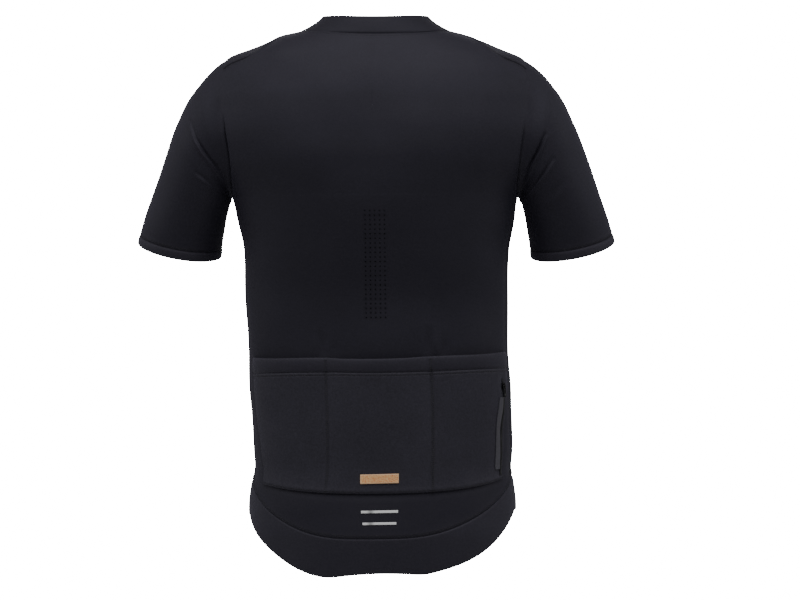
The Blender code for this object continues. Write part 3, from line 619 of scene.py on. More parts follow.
def punch(points, faces, uv, panel, inner, spot, vertex):
    """Adds the rings of faces round a hole, on both sides, and the hole's own wall."""
    i, j = spot
    middle = panel.points[spot]
    across = unit(panel.points[i + 1, j] - panel.points[i - 1, j])
    down = unit(panel.points[i, j + 1] - panel.points[i, j - 1])
    rims = []
    for shift in (np.zeros(3), inner[spot] - middle):
        rims.append(len(points))
        for turn in HOLE_TURNS:
            place = across * math.cos(turn) + down * math.sin(turn)
            points.append(tuple(middle + shift + place * HOLE_RADIUS))
    count = len(faces)
    for inside, first in enumerate(rims):
        for k in range(len(AROUND)):
            a, b = (
                vertex(i + di, j + dj, inside) for di, dj in (AROUND[k], AROUND[(k + 1) % 8])
            )
            ring = [first + (2 * k + s) % HOLE_SIDES for s in range(3)]
            for face in ((a, ring[1], ring[0]), (a, b, ring[2], ring[1])):
                faces.append(face if inside else face[::-1])
    for s in range(HOLE_SIDES):
        n = (s + 1) % HOLE_SIDES
        faces.append((rims[0] + s, rims[0] + n, rims[1] + n, rims[1] + s))
    uv += [tuple(panel.cloth[spot])] * sum(len(face) for face in faces[count:])


def make_mesh(name, points, faces, uv=None, smooth_under=math.radians(55)):
    """An object with smooth faces that point outwards, and with cloth coordinates if given."""
    mesh = bpy.data.meshes.new(name)
    mesh.from_pydata(points, [], faces)
    if uv:
        layer = mesh.uv_layers.new(name="cloth")
        layer.data.foreach_set("uv", np.array(uv, dtype=np.float32).ravel())
    work = bmesh.new()
    work.from_mesh(mesh)
    bmesh.ops.recalc_face_normals(work, faces=work.faces)
    work.to_mesh(mesh)
    work.free()
    mesh.shade_smooth()
    mesh.set_sharp_from_angle(angle=smooth_under)
    item = bpy.data.objects.new(name, mesh)
    bpy.context.scene.collection.objects.link(item)
    return item


# %% [markdown]
# ## Threads and zip coils
#
# A stitch is a short rounded thread that lies across or along a seam, and a nylon zip is a row
# of the same small rounded loops, closer together. Both repeat hundreds of times, so each one
# has only a dozen faces. They are laid along a line of points with normals.

# %% Lay threads along a line
THREAD_SIDES = 5
THREAD_ENDS = 0.45  # how thick its ends are, as a share of its middle
THREAD_RINGS = ((-0.5, THREAD_ENDS), (0.0, 1.0), (0.5, THREAD_ENDS))  # a place, and how thick
THREAD_ARCH = 0.4  # how far its middle stands over its ends, in shares of its radius
THREAD_POINTS = THREAD_SIDES * len(THREAD_RINGS)


def lay_threads(line, normals, pitch, length, radius, lift=0.0, turn=0.0, sway=0.0, under=1.0):
    """Threads every pitch along a line. turn is their angle to it, and sway their zigzag.

    None is laid higher than under.
    """
    steps = np.linalg.norm(np.diff(line, axis=0), axis=1)
    far = np.concatenate([[0], np.cumsum(steps)])
    places = np.arange(pitch / 2, far[-1], pitch)
    middles = np.stack([np.interp(places, far, line[:, k]) for k in range(3)], -1)
    outs = unit(np.stack([np.interp(places, far, normals[:, k]) for k in range(3)], -1))
    ways = unit(np.gradient(middles, axis=0)) if len(middles) > 1 else np.zeros((0, 3))
    points, faces = [], []
    for k, (middle, out, way) in enumerate(zip(middles, outs, ways)):
        if middle[2] > under:
            continue
        across = np.cross(out, way)
        swing = turn + (sway if k % 2 else -sway)
        along = way * math.cos(swing) + across * math.sin(swing)
        beside = np.cross(out, along)
        first = len(points)
        for place, thick in THREAD_RINGS:
            arch = radius * THREAD_ARCH * (thick - THREAD_ENDS)
            centre = middle + out * (lift + arch) + along * place * length
            for s in range(THREAD_SIDES):
                angle = 2 * math.pi * s / THREAD_SIDES
                reach = beside * math.cos(angle) + out * math.sin(angle)
                points.append(centre + reach * radius * thick)
        for ring in range(len(THREAD_RINGS) - 1):
            for s in range(THREAD_SIDES):
                a, n = first + ring * THREAD_SIDES + s, (s + 1) % THREAD_SIDES
                b = first + ring * THREAD_SIDES + n
                faces.append((a, b, b + THREAD_SIDES, a + THREAD_SIDES))
        last = first + (len(THREAD_RINGS) - 1) * THREAD_SIDES
        faces.append(tuple(first + s for s in range(THREAD_SIDES))[::-1])
        faces.append(tuple(last + s for s in range(THREAD_SIDES)))
    return points, faces


# %% Join threads, and find a line beside an edge
def count_threads(item):
    return len(item.data.vertices) // THREAD_POINTS


def join_threads(name, rows):
    """One object from several rows of threads."""
    points, faces = [], []
    for row_points, row_faces in rows:
        shift = len(points)
        points += row_points
        faces += [tuple(k + shift for k in face) for face in row_faces]
    return make_mesh(name, [tuple(p) for p in points], faces, smooth_under=math.radians(80))


def beside(panel, side, distance):
    """A line on a panel at this distance from one of its edges, with its normals."""
    both = np.concatenate([panel.points, panel.normals], axis=2)
    if side in "lr":
        both = both.swapaxes(0, 1)
    if side in "br":
        both = both[:, ::-1]
    far = from_edge(both[..., :3], "t")
    line = [[np.interp(distance, f, row[:, k]) for k in range(6)] for f, row in zip(far, both)]
    line = np.array(line)
    return line[:, :3], unit(line[:, 3:])


# %% [markdown]
# ## The back, with its strip of perforations
#
# The back is one piece of knit from the collar to the tail. Down the middle of the spine runs a
# strip of small holes for air, knitted in straight columns. So the grid's middle lines run a
# fixed distance apart instead of fanning out, and every second crossing is a hole's middle.

# %% Column lines of the back
HOLE_RADIUS, HOLE_COLUMNS, HOLE_ROWS, HOLE_TOP_Z = 0.00098, 5, 24, -0.2381
ROW_GAP, COLUMN_GAP = 0.0030, 0.00313  # half the way from hole to hole
STRIP_X = -0.0018  # the strip's middle
side_places = spaced(62, 0.235, seam_last=True)[1:]
middle_x = np.arange(HOLE_COLUMNS + 1) * COLUMN_GAP
half_x = np.pad(middle_x, (0, len(side_places)), "edge")
half_place = np.pad(side_places, (len(middle_x), 0))
LINE_X, LINE_PLACE = (
    np.pad(half, (len(half) - 1, 0), "reflect")[:, None] for half in (half_x, half_place)
)
LINE_SIGN = np.where(np.arange(len(LINE_X)) < len(half_x) - 1, -1.0, 1.0)[:, None]


def share_on_lines(z):
    base = share_at(LINE_SIGN * LINE_X + STRIP_X, z)
    return base + LINE_SIGN * LINE_PLACE * (1 - np.abs(base))


# The mouth sags between the dividers and rises at both sides, and so does the band's seam
mouth_rise = through(
    np.array([-1.0, -0.75, -0.56, -0.26, -0.11, 0.0, 0.14, 0.25, 0.52, 0.74, 1.0]),
    np.array([40.0, 24.0, 8.0, 4.0, -18.0, -24.0, -16.0, 4.0, 0.0, 12.0, 38.0]) * 1e-4,
)
band_rise = through(
    np.array([-1.0, -0.56, -0.26, 0.0, 0.25, 0.66, 1.0]),
    np.array([30.0, 24.0, 16.0, 6.0, 22.0, 18.0, 26.0]) * 1e-4,
)


def pocket_mouth(share):
    return POCKET_MOUTH_Z + mouth_rise(share)


def band_bottom(share):
    return POCKET_MOUTH_Z - POCKET_BAND + band_rise(share)


back_rows = partial(settle, share_on_lines, -0.6)  # -0.6 is a first guess of the height

# %% The back's points
yoke_steps = spaced(26, 0.11, seam_first=True)
first_hole_row = HOLE_TOP_Z + ROW_GAP
last_hole_row = first_hole_row - 2 * HOLE_ROWS * ROW_GAP


def rows_between(*stretches):
    """Level rows in stretches, each with its start, its end and its number of rows."""
    return np.concatenate([np.linspace(*stretch)[1:] for stretch in stretches])


level_rows = rows_between(
    (YOKE_Z, ARMPIT[1], 36),
    (ARMPIT[1], first_hole_row, 6),
    (first_hole_row, last_hole_row, 2 * HOLE_ROWS + 1),
    (last_hole_row, POCKET_MOUTH_Z, 16),
)
first_hole = len(yoke_steps) + int(np.argmin(np.abs(level_rows - first_hole_row)))
yoke_share = share_on_lines(np.full_like(LINE_X, YOKE_Z))
yoke_points = yoke(yoke_share, yoke_steps, True)
yoke_points[..., 0] *= LINE_SIGN
heights = np.concatenate(
    [
        np.repeat(level_rows[None], len(LINE_X), axis=0),
        back_rows(pocket_mouth, pocket_bottom, np.linspace(0, 1, 19)[1:])[1],
        back_rows(pocket_bottom, hem_seam, spaced(13, 0.05, seam_last=True)[1:])[1],
    ],
    axis=1,
)
shares = share_on_lines(heights)
back_points = np.concatenate([yoke_points, hung_at(shares, heights)], axis=1)
print("back grid:", back_points.shape[:2])

# %% Dress a panel of the body: waves, creases, the armhole's valley and the seams' rolls
SHOULDER_STRENGTH, SHOULDER_STARTS = 0.8, (0.10, 0.13)  # added to the seam outside the neck
NECK_FAINT, NECK_FAINT_X, NECK_FAINT_WIDTH = 0.7, 0.080, 0.030


def neck_strength(x):
    """The collar's seam is deepest in the middle of the back and faint beside it."""
    return 1 - NECK_FAINT * hump(np.abs(x) - NECK_FAINT_X, NECK_FAINT_WIDTH)


def dress_body(points, seams="tblr", lift=0.0, shown="lr"):
    normals = figure_normals(points)
    sides = [from_edge(points, side) for side in "lr" if side in seams]
    rise = slow_waves(points) + crease_lift(points, normals) + cap_fullness(points) + lift
    if sides:
        rise += valley_lift(np.minimum.reduce(sides), points, points[..., 2])
    for side in seams:
        far = from_edge(points, side)
        if side == "t":
            strength = SHOULDER_STRENGTH * ease(np.abs(points[..., 0]), *SHOULDER_STARTS)
            strength = strength + neck_strength(points[..., 0])
        else:
            strength = cap_share(points[..., 2]) if side in shown else 1
        rise += strength * seam_roll(far)
    return as_panel(points, normals, rise)


KNIT = 0.0009  # drawn thickness of one layer of knit
# How far the pockets' lower seam presses into the back, above its edge, and how wide
UNDER_POCKETS, UNDER_ABOVE, UNDER_WIDTH = 0.0010, 0.0015, 0.0042
middle = len(LINE_X) // 2
hole_lines = [middle + 2 * k for k in range(-(HOLE_COLUMNS // 2), HOLE_COLUMNS // 2 + 1)]
hole_rows = [first_hole + 1 + 2 * k for k in range(HOLE_ROWS)]
above_seam = heights - pocket_bottom(shares) + UNDER_ABOVE
under_pockets = UNDER_POCKETS * hump(above_seam, UNDER_WIDTH)
under_pockets = np.concatenate([np.zeros(yoke_points.shape[:2]), under_pockets], axis=1)
back = dress_body(back_points, lift=-under_pockets)
holes = [(i, j) for i in hole_lines for j in hole_rows]
back_cloth = shell("back_cloth", back, KNIT, holes=holes)
print("back:", len(back_cloth.data.polygons), "faces,", len(holes), "holes")

# %% [markdown]
# ## The fronts
#
# Each front wraps over the shoulder ridge to the seam behind it and down to the short front hem.
# They stay apart by the width of the zip. Below the yoke their columns are even shares of the
# way from the zip to the side seam.

# %% The fronts' grids
front_places = np.maximum(spaced(56, 0.27, seam_first=True, seam_last=True), 1e-9)[:, None]
front_yoke = spaced(36, 0.15, seam_first=True)
front_hem_seam = float(hem_seam(np.array(1.0)))
front_steps = spaced(38, 0.17, seam_last=True)[1:]
front_rows = np.concatenate(
    [
        rows_between((YOKE_Z, ARMPIT[1], 36), (ARMPIT[1], POCKET_MOUTH_Z, 50)),
        POCKET_MOUTH_Z + (front_hem_seam - POCKET_MOUTH_Z) * front_steps,
    ]
)[None]
fronts = {}
for word, side in SIDES.items():
    upper = yoke(front_places, front_yoke, False) * np.array([side, 1.0, 1.0])
    places = side * front_places
    lower = hung_at(places, front_rows, False, FRONT_EDGE)
    fronts[word] = dress_body(np.concatenate([upper, lower], axis=1), "tbr")
front_cloths = {word: shell(f"front_{word}_cloth", fronts[word], KNIT) for word in fronts}
print("front grid:", fronts["left"].points.shape[:2])

# %% [markdown]
# ## The sleeves
#
# A set-in sleeve starts square to the armhole over the shoulder and folds sharply under the arm.
# It runs through a fan of slanted rings to the cuff. A smooth path from ring to ring gives the
# points in between. Near the armhole the sleeve's folds move the way the body's do, so that
# both sides of the seam stay together.

# %% The rings, from outer point to inner point
# outer x, outer z, inner x, inner z, middle y, half depth, drop behind
SLEEVE_RINGS = np.array(
    [
        (0.2393, -0.0791, 0.1912, -0.2200, -0.0010, 0.0620, 0.000),
        (0.2623, -0.1213, 0.1917, -0.2255, -0.0030, 0.0630, 0.002),
        (0.2780, -0.1636, 0.1933, -0.2335, -0.0060, 0.0620, 0.005),
        (0.2925, -0.2050, 0.1965, -0.2450, -0.0100, 0.0600, 0.008),
        (0.3072, -0.2462, 0.2008, -0.2662, -0.0150, 0.0585, 0.011),
        (0.3128, -0.2655, 0.2043, -0.2850, -0.0185, 0.0580, 0.013),
        (0.3150, -0.2757, 0.2060, -0.2955, -0.0205, 0.0580, 0.014),
    ]
)
UNDERARM = (math.radians(95), math.radians(165))
SLEEVE_COLUMNS = 200
CAP_LIFT, CAP_REACH = 0.34, 0.35  # how high and how far the sleeve starts over the shoulder
CAP_STARTS = (-0.105, -0.050)
SLEEVE_STEPS = [
    spaced(30, 0.045, seam_first=True),
    *(np.linspace(0, 1, count) for count in (29, 25, 18, 12)),
    spaced(6, 0.021, seam_last=True),
]
CUFF_STEPS = spaced(5, 0.0108, seam_first=True)


# %% The armhole, and the paths from it to the cuff
def armhole_line(angles):
    """Points round the left armhole, from the armpit up the back, over and down the front."""
    top = float(ridge_z(ARMHOLE_X))
    z = (top + ARMPIT[1]) / 2 + (top - ARMPIT[1]) / 2 * np.cos(angles)
    rise = np.sqrt(np.maximum(0.0, top - z)) * np.where(angles > 0, 1, -1)
    over = over_shoulder(np.full_like(z, ARMHOLE_X), rise)
    low = body_at(np.ones_like(z), z, angles > 0)
    points = np.where((z > YOKE_Z)[:, None], over, low)
    points[z < ARMPIT[1] + 1e-9] = (ARMPIT[0], 0.0, ARMPIT[1])
    return points


def sleeve_paths():
    """The seam and the rings as points, and how the sleeve's lines leave each of them."""
    angles = math.pi - 2 * math.pi * np.arange(SLEEVE_COLUMNS) / SLEEVE_COLUMNS
    seam = armhole_line(angles)
    around = unit(np.roll(seam, -1, axis=0) - np.roll(seam, 1, axis=0))
    square = unit(np.cross(around, figure_normals(seam)))
    square *= np.sign(square[SLEEVE_COLUMNS // 2, 0])
    cap = ease(seam[:, 2], *CAP_STARTS)[:, None]
    square = unit(square + cap * np.array([0.0, 0.0, CAP_LIFT]))
    rings = [seam]
    for outer_x, outer_z, inner_x, inner_z, y, half_depth, drop in SLEEVE_RINGS:
        outer, inner = np.array([outer_x, y, outer_z]), np.array([inner_x, y, inner_z])
        across = np.array([0.0, half_depth, -drop])
        cos, sin = np.cos(angles)[:, None], np.sin(angles)[:, None]
        rings.append((outer + inner) / 2 + (outer - inner) / 2 * cos + across * sin)
    rings = np.stack(rings)
    fold = ease(np.abs(angles), *UNDERARM)[:, None]
    first = rings[1] - rings[0]
    reach = np.linalg.norm(first, axis=1)[:, None] * (1 + CAP_REACH * cap)
    start = (square * (1 - fold) + unit(first) * fold) * reach
    tangents = [start, *((rings[2:] - rings[:-2]) / 2), rings[-1] - rings[-2]]
    return rings, tangents


def along_paths(rings, tangents, k, steps):
    ends = (rings[k], tangents[k], rings[k + 1], tangents[k + 1])
    return bend(*(end[:, None] for end in ends), steps[None, :, None])


def tube_normals(points):
    round_way = np.roll(points, -1, axis=0) - np.roll(points, 1, axis=0)
    normals = unit(np.cross(round_way, np.gradient(points, axis=1)))
    outward = ((points - points.mean(axis=0)) * normals).sum()
    return normals * np.sign(outward)


# %% Build both sleeves and cuffs
rings, tangents = sleeve_paths()
seam_normals = figure_normals(rings[0])
whole = [along_paths(rings, tangents, k, s)[:, 1 if k else 0 :] for k, s in enumerate(SLEEVE_STEPS)]
sleeve_rows = sum(part.shape[1] for part in whole)
whole = np.concatenate(whole + [along_paths(rings, tangents, 6, CUFF_STEPS)[:, 1:]], axis=1)
whole_normals = tube_normals(whole)
BAND = 0.0016  # drawn thickness of a folded band
CUFF_PROUD, CUFF_ROUND, CUFF_FLARE = 0.0003, 0.0007, 0.0010
CUFF_LIFT = 0.0002  # of the cuff's first row over the sleeve's last
ARMHOLE_TURN = 0.022  # within this distance the sleeve moves the way the body does
UNDERARM_DIP, UNDERARM_WIDTH = 0.0005, 0.0030
Sleeve = namedtuple("Sleeve", "panel cuff cloth band")


def build_sleeve(word, side):
    mirror = np.array([side, 1.0, 1.0])
    points, normals = whole * mirror, whole_normals * mirror
    far = from_edge(points, "t")
    near = 1 - ease(far, 0.0, ARMHOLE_TURN)[..., None]
    ways = unit((seam_normals * mirror)[:, None] * near + normals * (1 - near))
    underarm = np.minimum(from_edge(points, "l"), from_edge(points, "r"))
    seam_height = np.repeat(points[:, :1, 2], points.shape[1], axis=1)
    rise = slow_waves(points) + crease_lift(points, normals) + cap_fullness(points)
    rise += valley_lift(far, points, seam_height)
    rise += cap_share(seam_height) * seam_roll(far)
    rise -= UNDERARM_DIP * hump(underarm, UNDERARM_WIDTH)
    body, band = slice(0, sleeve_rows), slice(sleeve_rows - 1, None)
    rise[:, body] += seam_roll(from_edge(points[:, body], "b"))
    down = from_edge(points[:, band], "t")
    share = down / down[:, -1:]
    roll = CUFF_PROUD + CUFF_ROUND * np.sin(math.pi * share) + CUFF_FLARE * share**2
    rise[:, band.start + 1 :] += (roll - DIP * hump(down, DIP_WIDTH))[:, 1:]
    moved = points + ways * rise[..., None]
    cloth = cloth_coordinates(points, closed=True)
    sleeve = Panel(moved[:, body], normals[:, body], cloth[:, body])
    band_points = moved[:, band].copy()
    band_points[:, 0] += ways[:, sleeve_rows - 1] * CUFF_LIFT
    cuff = Panel(band_points, normals[:, band], cloth[:, band])
    sleeve_shell = shell(f"sleeve_{word}_cloth", sleeve, KNIT, closed=True)
    band_shell = shell(f"cuff_{word}_band", cuff, BAND, closed=True, round_bottom=True)
    return Sleeve(sleeve, cuff, sleeve_shell, band_shell)


sleeves = {word: build_sleeve(word, side) for word, side in SIDES.items()}
print("sleeve grid:", sleeves["left"].panel.points.shape[:2])

# %% [markdown]
# ## The collar
#
# The low collar is one band of doubled knit. It stands on the neck seam, curves inwards and
# ends at the zip in front, where it is lower.

# %% Build the collar
COLLAR_TOP_HALF = 0.0725
COLLAR_TOP_BACK, COLLAR_TOP_FRONT = (0.046, 0.0205), (-0.067, -0.036)
COLLAR_HOLLOW, COLLAR_DIP_FROM, COLLAR_ROUND = 0.004, 1.22, 0.0006
COLLAR_DIP, DIP_TURN = 0.0030, 0.75  # how the top edge sinks at the middle of the back
COLLAR_SEAM = 0.0009


def collar_at(turn, up):
    """turn runs from 0 behind to pi in front, and up from 0 at the seam to 1 at the top."""
    side, turn = np.where(turn < 0, -1, 1), np.abs(turn)
    behind = turn <= math.pi / 2
    x = NECK_HALF * np.sin(turn)
    rise = np.where(behind, neck_rise(x, True), neck_rise(x, False))
    low = over_shoulder(x, rise)
    middle_y = (COLLAR_TOP_BACK[0] + COLLAR_TOP_FRONT[0]) / 2
    half_y = (COLLAR_TOP_BACK[0] - COLLAR_TOP_FRONT[0]) / 2
    fall = ease(turn, COLLAR_DIP_FROM, math.pi)
    high_z = COLLAR_TOP_BACK[1] + (COLLAR_TOP_FRONT[1] - COLLAR_TOP_BACK[1]) * fall
    high_z = high_z - COLLAR_DIP * hump(turn, DIP_TURN)
    high_y = middle_y + half_y * np.cos(turn)
    high = np.stack([COLLAR_TOP_HALF * np.sin(turn), high_y, high_z], -1)
    point = low + (high - low) * up[..., None]
    point[..., 0] -= COLLAR_HOLLOW * 4 * up * (1 - up) * np.abs(np.sin(turn))
    point[..., 0] = np.where(behind, point[..., 0], np.maximum(point[..., 0], FRONT_EDGE))
    point[..., 0] *= side
    return point


def sheet_normals(points, outward):
    normals = unit(np.cross(np.gradient(points, axis=0), np.gradient(points, axis=1)))
    return normals * np.sign((normals * outward).sum())


last_turn = math.pi - math.asin(FRONT_EDGE / NECK_HALF)
turns = np.linspace(-last_turn, last_turn, 161)
up_steps = 1 - spaced(9, 0.034, seam_last=True)
turn_grid, up_grid = np.meshgrid(turns, up_steps, indexing="ij")
collar_points = collar_at(turn_grid, up_grid)
collar_normals = sheet_normals(collar_points, collar_points * np.array([1.0, 1.0, 0.0]))
collar_rise = COLLAR_ROUND * np.sin(math.pi * up_grid)
seam_dip = COLLAR_SEAM * neck_strength(collar_points[..., 0])
collar_rise -= seam_dip * hump(from_edge(collar_points, "b"), DIP_WIDTH)
collar = as_panel(collar_points, collar_normals, collar_rise)
collar_cloth = shell("collar_cloth", collar, BAND, round_top=True)
print("collar grid:", collar.points.shape[:2])

# %% [markdown]
# ## The hem bands
#
# A separate band of elastic knit finishes the tail and the fronts. Its upper edge follows the
# curved seam, and its lower edge is a fold, so it gets a rounded rim and a little more
# thickness. The tail's edge is not a perfect curve: it hangs in shallow waves.

# %% Build the hem bands
TAIL_WAVES = [  # the middle's x, a width and a height
    (0.085, 0.030, -0.0036),
    (0.056, 0.024, -0.0034),
    (-0.015, 0.030, 0.0014),
    (-0.068, 0.020, -0.0022),
    (-0.105, 0.035, -0.0015),
    (-0.142, 0.025, -0.0020),
]
HEM_PROUD, HEM_ROUND = 0.0002, 0.0003
HEM_DIP, HEM_DIP_WIDTH = 0.0013, 0.0009


def hem_band(name, points):
    """A band from its seam down to its fold, a little proud of the panels."""
    normals = figure_normals(points)
    down = from_edge(points, "t")
    rise = slow_waves(points) + HEM_PROUD + HEM_ROUND * np.sin(math.pi * down / down[:, -1:])
    rise -= HEM_DIP * hump(down, HEM_DIP_WIDTH)
    return shell(name, as_panel(points, normals, rise), BAND, round_bottom=True)


hem_points = hung_at(*back_rows(hem_seam, tail_edge, spaced(13, 0.044, seam_first=True)))
hem_down = from_edge(hem_points, "t")
for place, width, height in TAIL_WAVES:
    wave = height * hump(hem_points[..., 0] - place, width)
    hem_points[..., 2] += wave * (hem_down / hem_down[:, -1:]) ** 2
hem_back_band = hem_band("hem_back_band", hem_points)

front_tail = float(tail_edge(np.array(1.0)))
front_steps = spaced(10, 0.034, seam_first=True)
front_hem_rows = front_hem_seam + (front_tail - front_hem_seam) * front_steps
front_hem_bands = {}
for word, side in SIDES.items():
    places = side * front_places
    points = hung_at(places, front_hem_rows[None], False, FRONT_EDGE)
    front_hem_bands[word] = hem_band(f"hem_front_{word}_band", points)
print("hem bands:", hem_back_band.name, *(band.name for band in front_hem_bands.values()))

# %% [markdown]
# ## The pockets
#
# One panel of knit lies over the lower back and is sewn down along its bottom, its sides and
# two upright lines, which makes three pockets. Its mouth is a rolled elastic band that stands
# off a little. The panel narrows downwards, so its side seams run in from the jersey's sides.

# %% The pockets' sizes
POCKET_FULLNESS, POCKET_ROUNDNESS, POCKET_FULL_FROM = 0.0095, 0.8, -0.15
DIVIDER = 0.25
DIVIDERS = {"left": (0.240, 0.259), "right": (-0.260, -0.250)}  # at the mouth and the bottom
# How far round each pocket side stands, as heights and shares, from the lowest up
POCKET_SIDES = {
    "left": ((-0.591, -0.541, -0.507, -0.449), (0.750, 0.802, 0.855, 0.862)),
    "right": (
        (-0.595, -0.585, -0.562, -0.536, -0.518, -0.499, -0.481, -0.449, -0.424),
        (0.776, 0.800, 0.820, 0.830, 0.843, 0.874, 0.892, 0.916, 0.922),
    ),
}
# At a divider the cloth is pulled in, also sharply at the thread, and puckers near the mouth
DIVIDER_DIP, DIVIDER_WIDTH, THREAD_WIDTH = 0.0009, 0.0042, 0.0013
PUCKER, PUCKER_TURN, PUCKER_WIDTH, PUCKER_TALL = 0.00035, 420, 0.016, 0.030
COIL = [  # heights, shares and half widths of the side pocket's coil
    (-0.4600, -0.797, 0.0019),
    (-0.4700, -0.801, 0.0019),
    (-0.4831, -0.825, 0.0019),
    (-0.4960, -0.829, 0.0019),
    (-0.5179, -0.803, 0.0019),
    (-0.5360, -0.790, 0.0019),
    (-0.5630, -0.789, 0.0019),
    (-0.5840, -0.773, 0.0019),
]
coil_share = through(*np.array(COIL[::-1]).T[:2])
ZIP_DIP, ZIP_DIP_WIDTH = 0.0022, 0.0100  # the zip's seam holds the cloth down
ZIP_DIP_TOP, ZIP_DIP_FOOT = (-0.448, -0.462), (-0.600, -0.584)
POCKET_SAG = 0.0014
# A stitched line this far under the band holds its seam down
ALLOWANCE, ALLOWANCE_DIP, ALLOWANCE_WIDTH = 0.0042, 0.0007, 0.0009


# %% Points on the pockets' surface
def pocket_side(z, columns):
    """The share where the pocket ends, on the side that each column is on."""
    left, right = (np.interp(z, *POCKET_SIDES[word]) for word in ("left", "right"))
    return left + (right - left) * ease(columns, 0.15, -0.15)


def divider_share(word, t):
    mouth, bottom = DIVIDERS[word]
    return mouth + (bottom - mouth) * t


def across_at(z):
    """Metres across the back for one whole share of a row at this height."""
    return edge_angle(z, True) * half_width(z)


def zip_dip(share, z):
    away = (share - coil_share(z)) * across_at(z)
    ends = ease(z, *ZIP_DIP_TOP) * ease(z, *ZIP_DIP_FOOT)
    return ZIP_DIP * hump(away, ZIP_DIP_WIDTH) * ends


def pocket_at(share, z, lift=0.0):
    """A point on the outside of the pockets, and its normal."""
    base = hung_at(share, z)
    out = figure_normals(base)
    t = (POCKET_MOUTH_Z - z) / (POCKET_MOUTH_Z - pocket_bottom(share))
    place = np.abs(share)
    by_middle = np.cos(math.pi / 2 * np.minimum(place, DIVIDER) / DIVIDER)
    side = pocket_side(z, share)
    by_side = np.sin(math.pi * np.clip((place - DIVIDER) / (side - DIVIDER), 0, 1))
    full = np.maximum(0.0, np.where(place <= DIVIDER, by_middle, by_side))
    rise = POCKET_FULLNESS * full**POCKET_ROUNDNESS * (1 - ease(t, POCKET_FULL_FROM, 1.0))
    rise += POCKET_SAG * full * np.sin(math.pi * np.clip(t, 0, 1)) ** 2
    for word in DIVIDERS:
        away = (share - divider_share(word, t)) * across_at(z)
        rise -= DIVIDER_DIP * (hump(away, DIVIDER_WIDTH) + hump(away, THREAD_WIDTH))
        puckers = np.cos(away * PUCKER_TURN) * hump(away, PUCKER_WIDTH)
        rise += PUCKER * puckers * hump(z - POCKET_MOUTH_Z, PUCKER_TALL)
    rise = np.maximum(rise - zip_dip(share, z), 0) + LAY_GAP + WALL + slow_waves(base) + lift
    return base + out * rise[..., None], out


# %% The pocket band and panel
BAND_ROUND = 0.0011
BAND_DIP, BAND_DIP_WIDTH = 0.0008, 0.0013
pocket_columns = np.linspace(-1, 1, 153)[:, None]


def pocket_shares(z):
    return pocket_columns * pocket_side(z, pocket_columns)


pocket_rows = partial(settle, pocket_shares, -0.5)
band_steps = spaced(7, POCKET_BAND, seam_last=True)
band_share, band_z = pocket_rows(pocket_mouth, band_bottom, band_steps)
band_lift = BAND_ROUND * np.sin(math.pi * band_steps) ** 0.7
band_lift -= BAND_DIP * hump((1 - band_steps) * POCKET_BAND, BAND_DIP_WIDTH)
pocket_band = as_panel(*pocket_at(band_share, band_z, band_lift))
pocket_band_cloth = shell("pocket_band_cloth", pocket_band, BAND, round_top=True)

PANEL_LONG = 0.15
line_steps = (ALLOWANCE + np.array([-0.0008, 0.0002, 0.0010, 0.0020])) / PANEL_LONG
panel_steps = spaced(44, PANEL_LONG, seam_first=True, seam_last=True)
panel_steps = np.unique(np.concatenate([panel_steps, line_steps]))
panel_share, panel_z = pocket_rows(band_bottom, pocket_bottom, panel_steps)
flat_points, _ = pocket_at(panel_share, panel_z)
below_band = from_edge(flat_points, "t")
panel_lift = seam_roll(below_band) + seam_roll(from_edge(flat_points, "b"))
panel_lift -= ALLOWANCE_DIP * hump(below_band - ALLOWANCE, ALLOWANCE_WIDTH)
pocket_panel = as_panel(*pocket_at(panel_share, panel_z, panel_lift))
pocket_cloth = shell("pocket_panel_cloth", pocket_panel, KNIT, round_bottom=True)
print("pocket grid:", pocket_panel.points.shape[:2])

# %% [markdown]
# ## Patch, bars and strips
#
# Small flat pieces lie on the panels: a bare tan patch near the foot of the middle pocket, two
# reflective bars on the tail and a grey flap beside the side pocket's zip. Each is a little grid
# on the same surface as the panel under it, moved out, so it bends with the body.

# %% Lay a small piece on a surface
def tail_at(share, z, lift=0.0):
    base = hung_at(share, z)
    out = figure_normals(base)
    return base + out * (slow_waves(base) + lift)[..., None], out


def laid(name, surface, share, z, lift, thickness):
    panel = as_panel(*surface(share, z, lift))
    return shell(name, panel, thickness, round_top=True, round_bottom=True)


def laid_bar(name, surface, size, middle, turn, lift, thickness, cells):
    """A flat bar, width by height, turned around its middle (x, z)."""
    across = np.linspace(-0.5, 0.5, cells[0] + 1)[:, None] * size[0]
    down = np.linspace(0.5, -0.5, cells[1] + 1)[None] * size[1]
    x = middle[0] + across * math.cos(turn) - down * math.sin(turn)
    z = middle[1] + across * math.sin(turn) + down * math.cos(turn)
    return laid(name, surface, share_at(x, z), z, lift, thickness)


# %% The patch and the bars
LABEL, LABEL_PLACE = (0.0492, 0.0110), (0.0006, -0.5841)
LABEL_LAY = {"turn": math.radians(-0.8), "lift": 0.0013, "thickness": 0.0011, "cells": (28, 8)}
label_patch = laid_bar("label_patch", pocket_at, LABEL, LABEL_PLACE, **LABEL_LAY)
BARS = {
    "reflector_upper": ((0.0476, 0.0029), (0.0003, -0.6258)),
    "reflector_lower": ((0.0434, 0.0027), (0.0003, -0.6409)),
}
BAR_LAY = {"turn": math.radians(-0.4), "lift": 0.0007, "thickness": 0.0005, "cells": (28, 3)}
bars = {
    node: laid_bar(node + "_bar", tail_at, size, place, **BAR_LAY)
    for node, (size, place) in BARS.items()
}
print("laid flat:", label_patch.name, *bars)


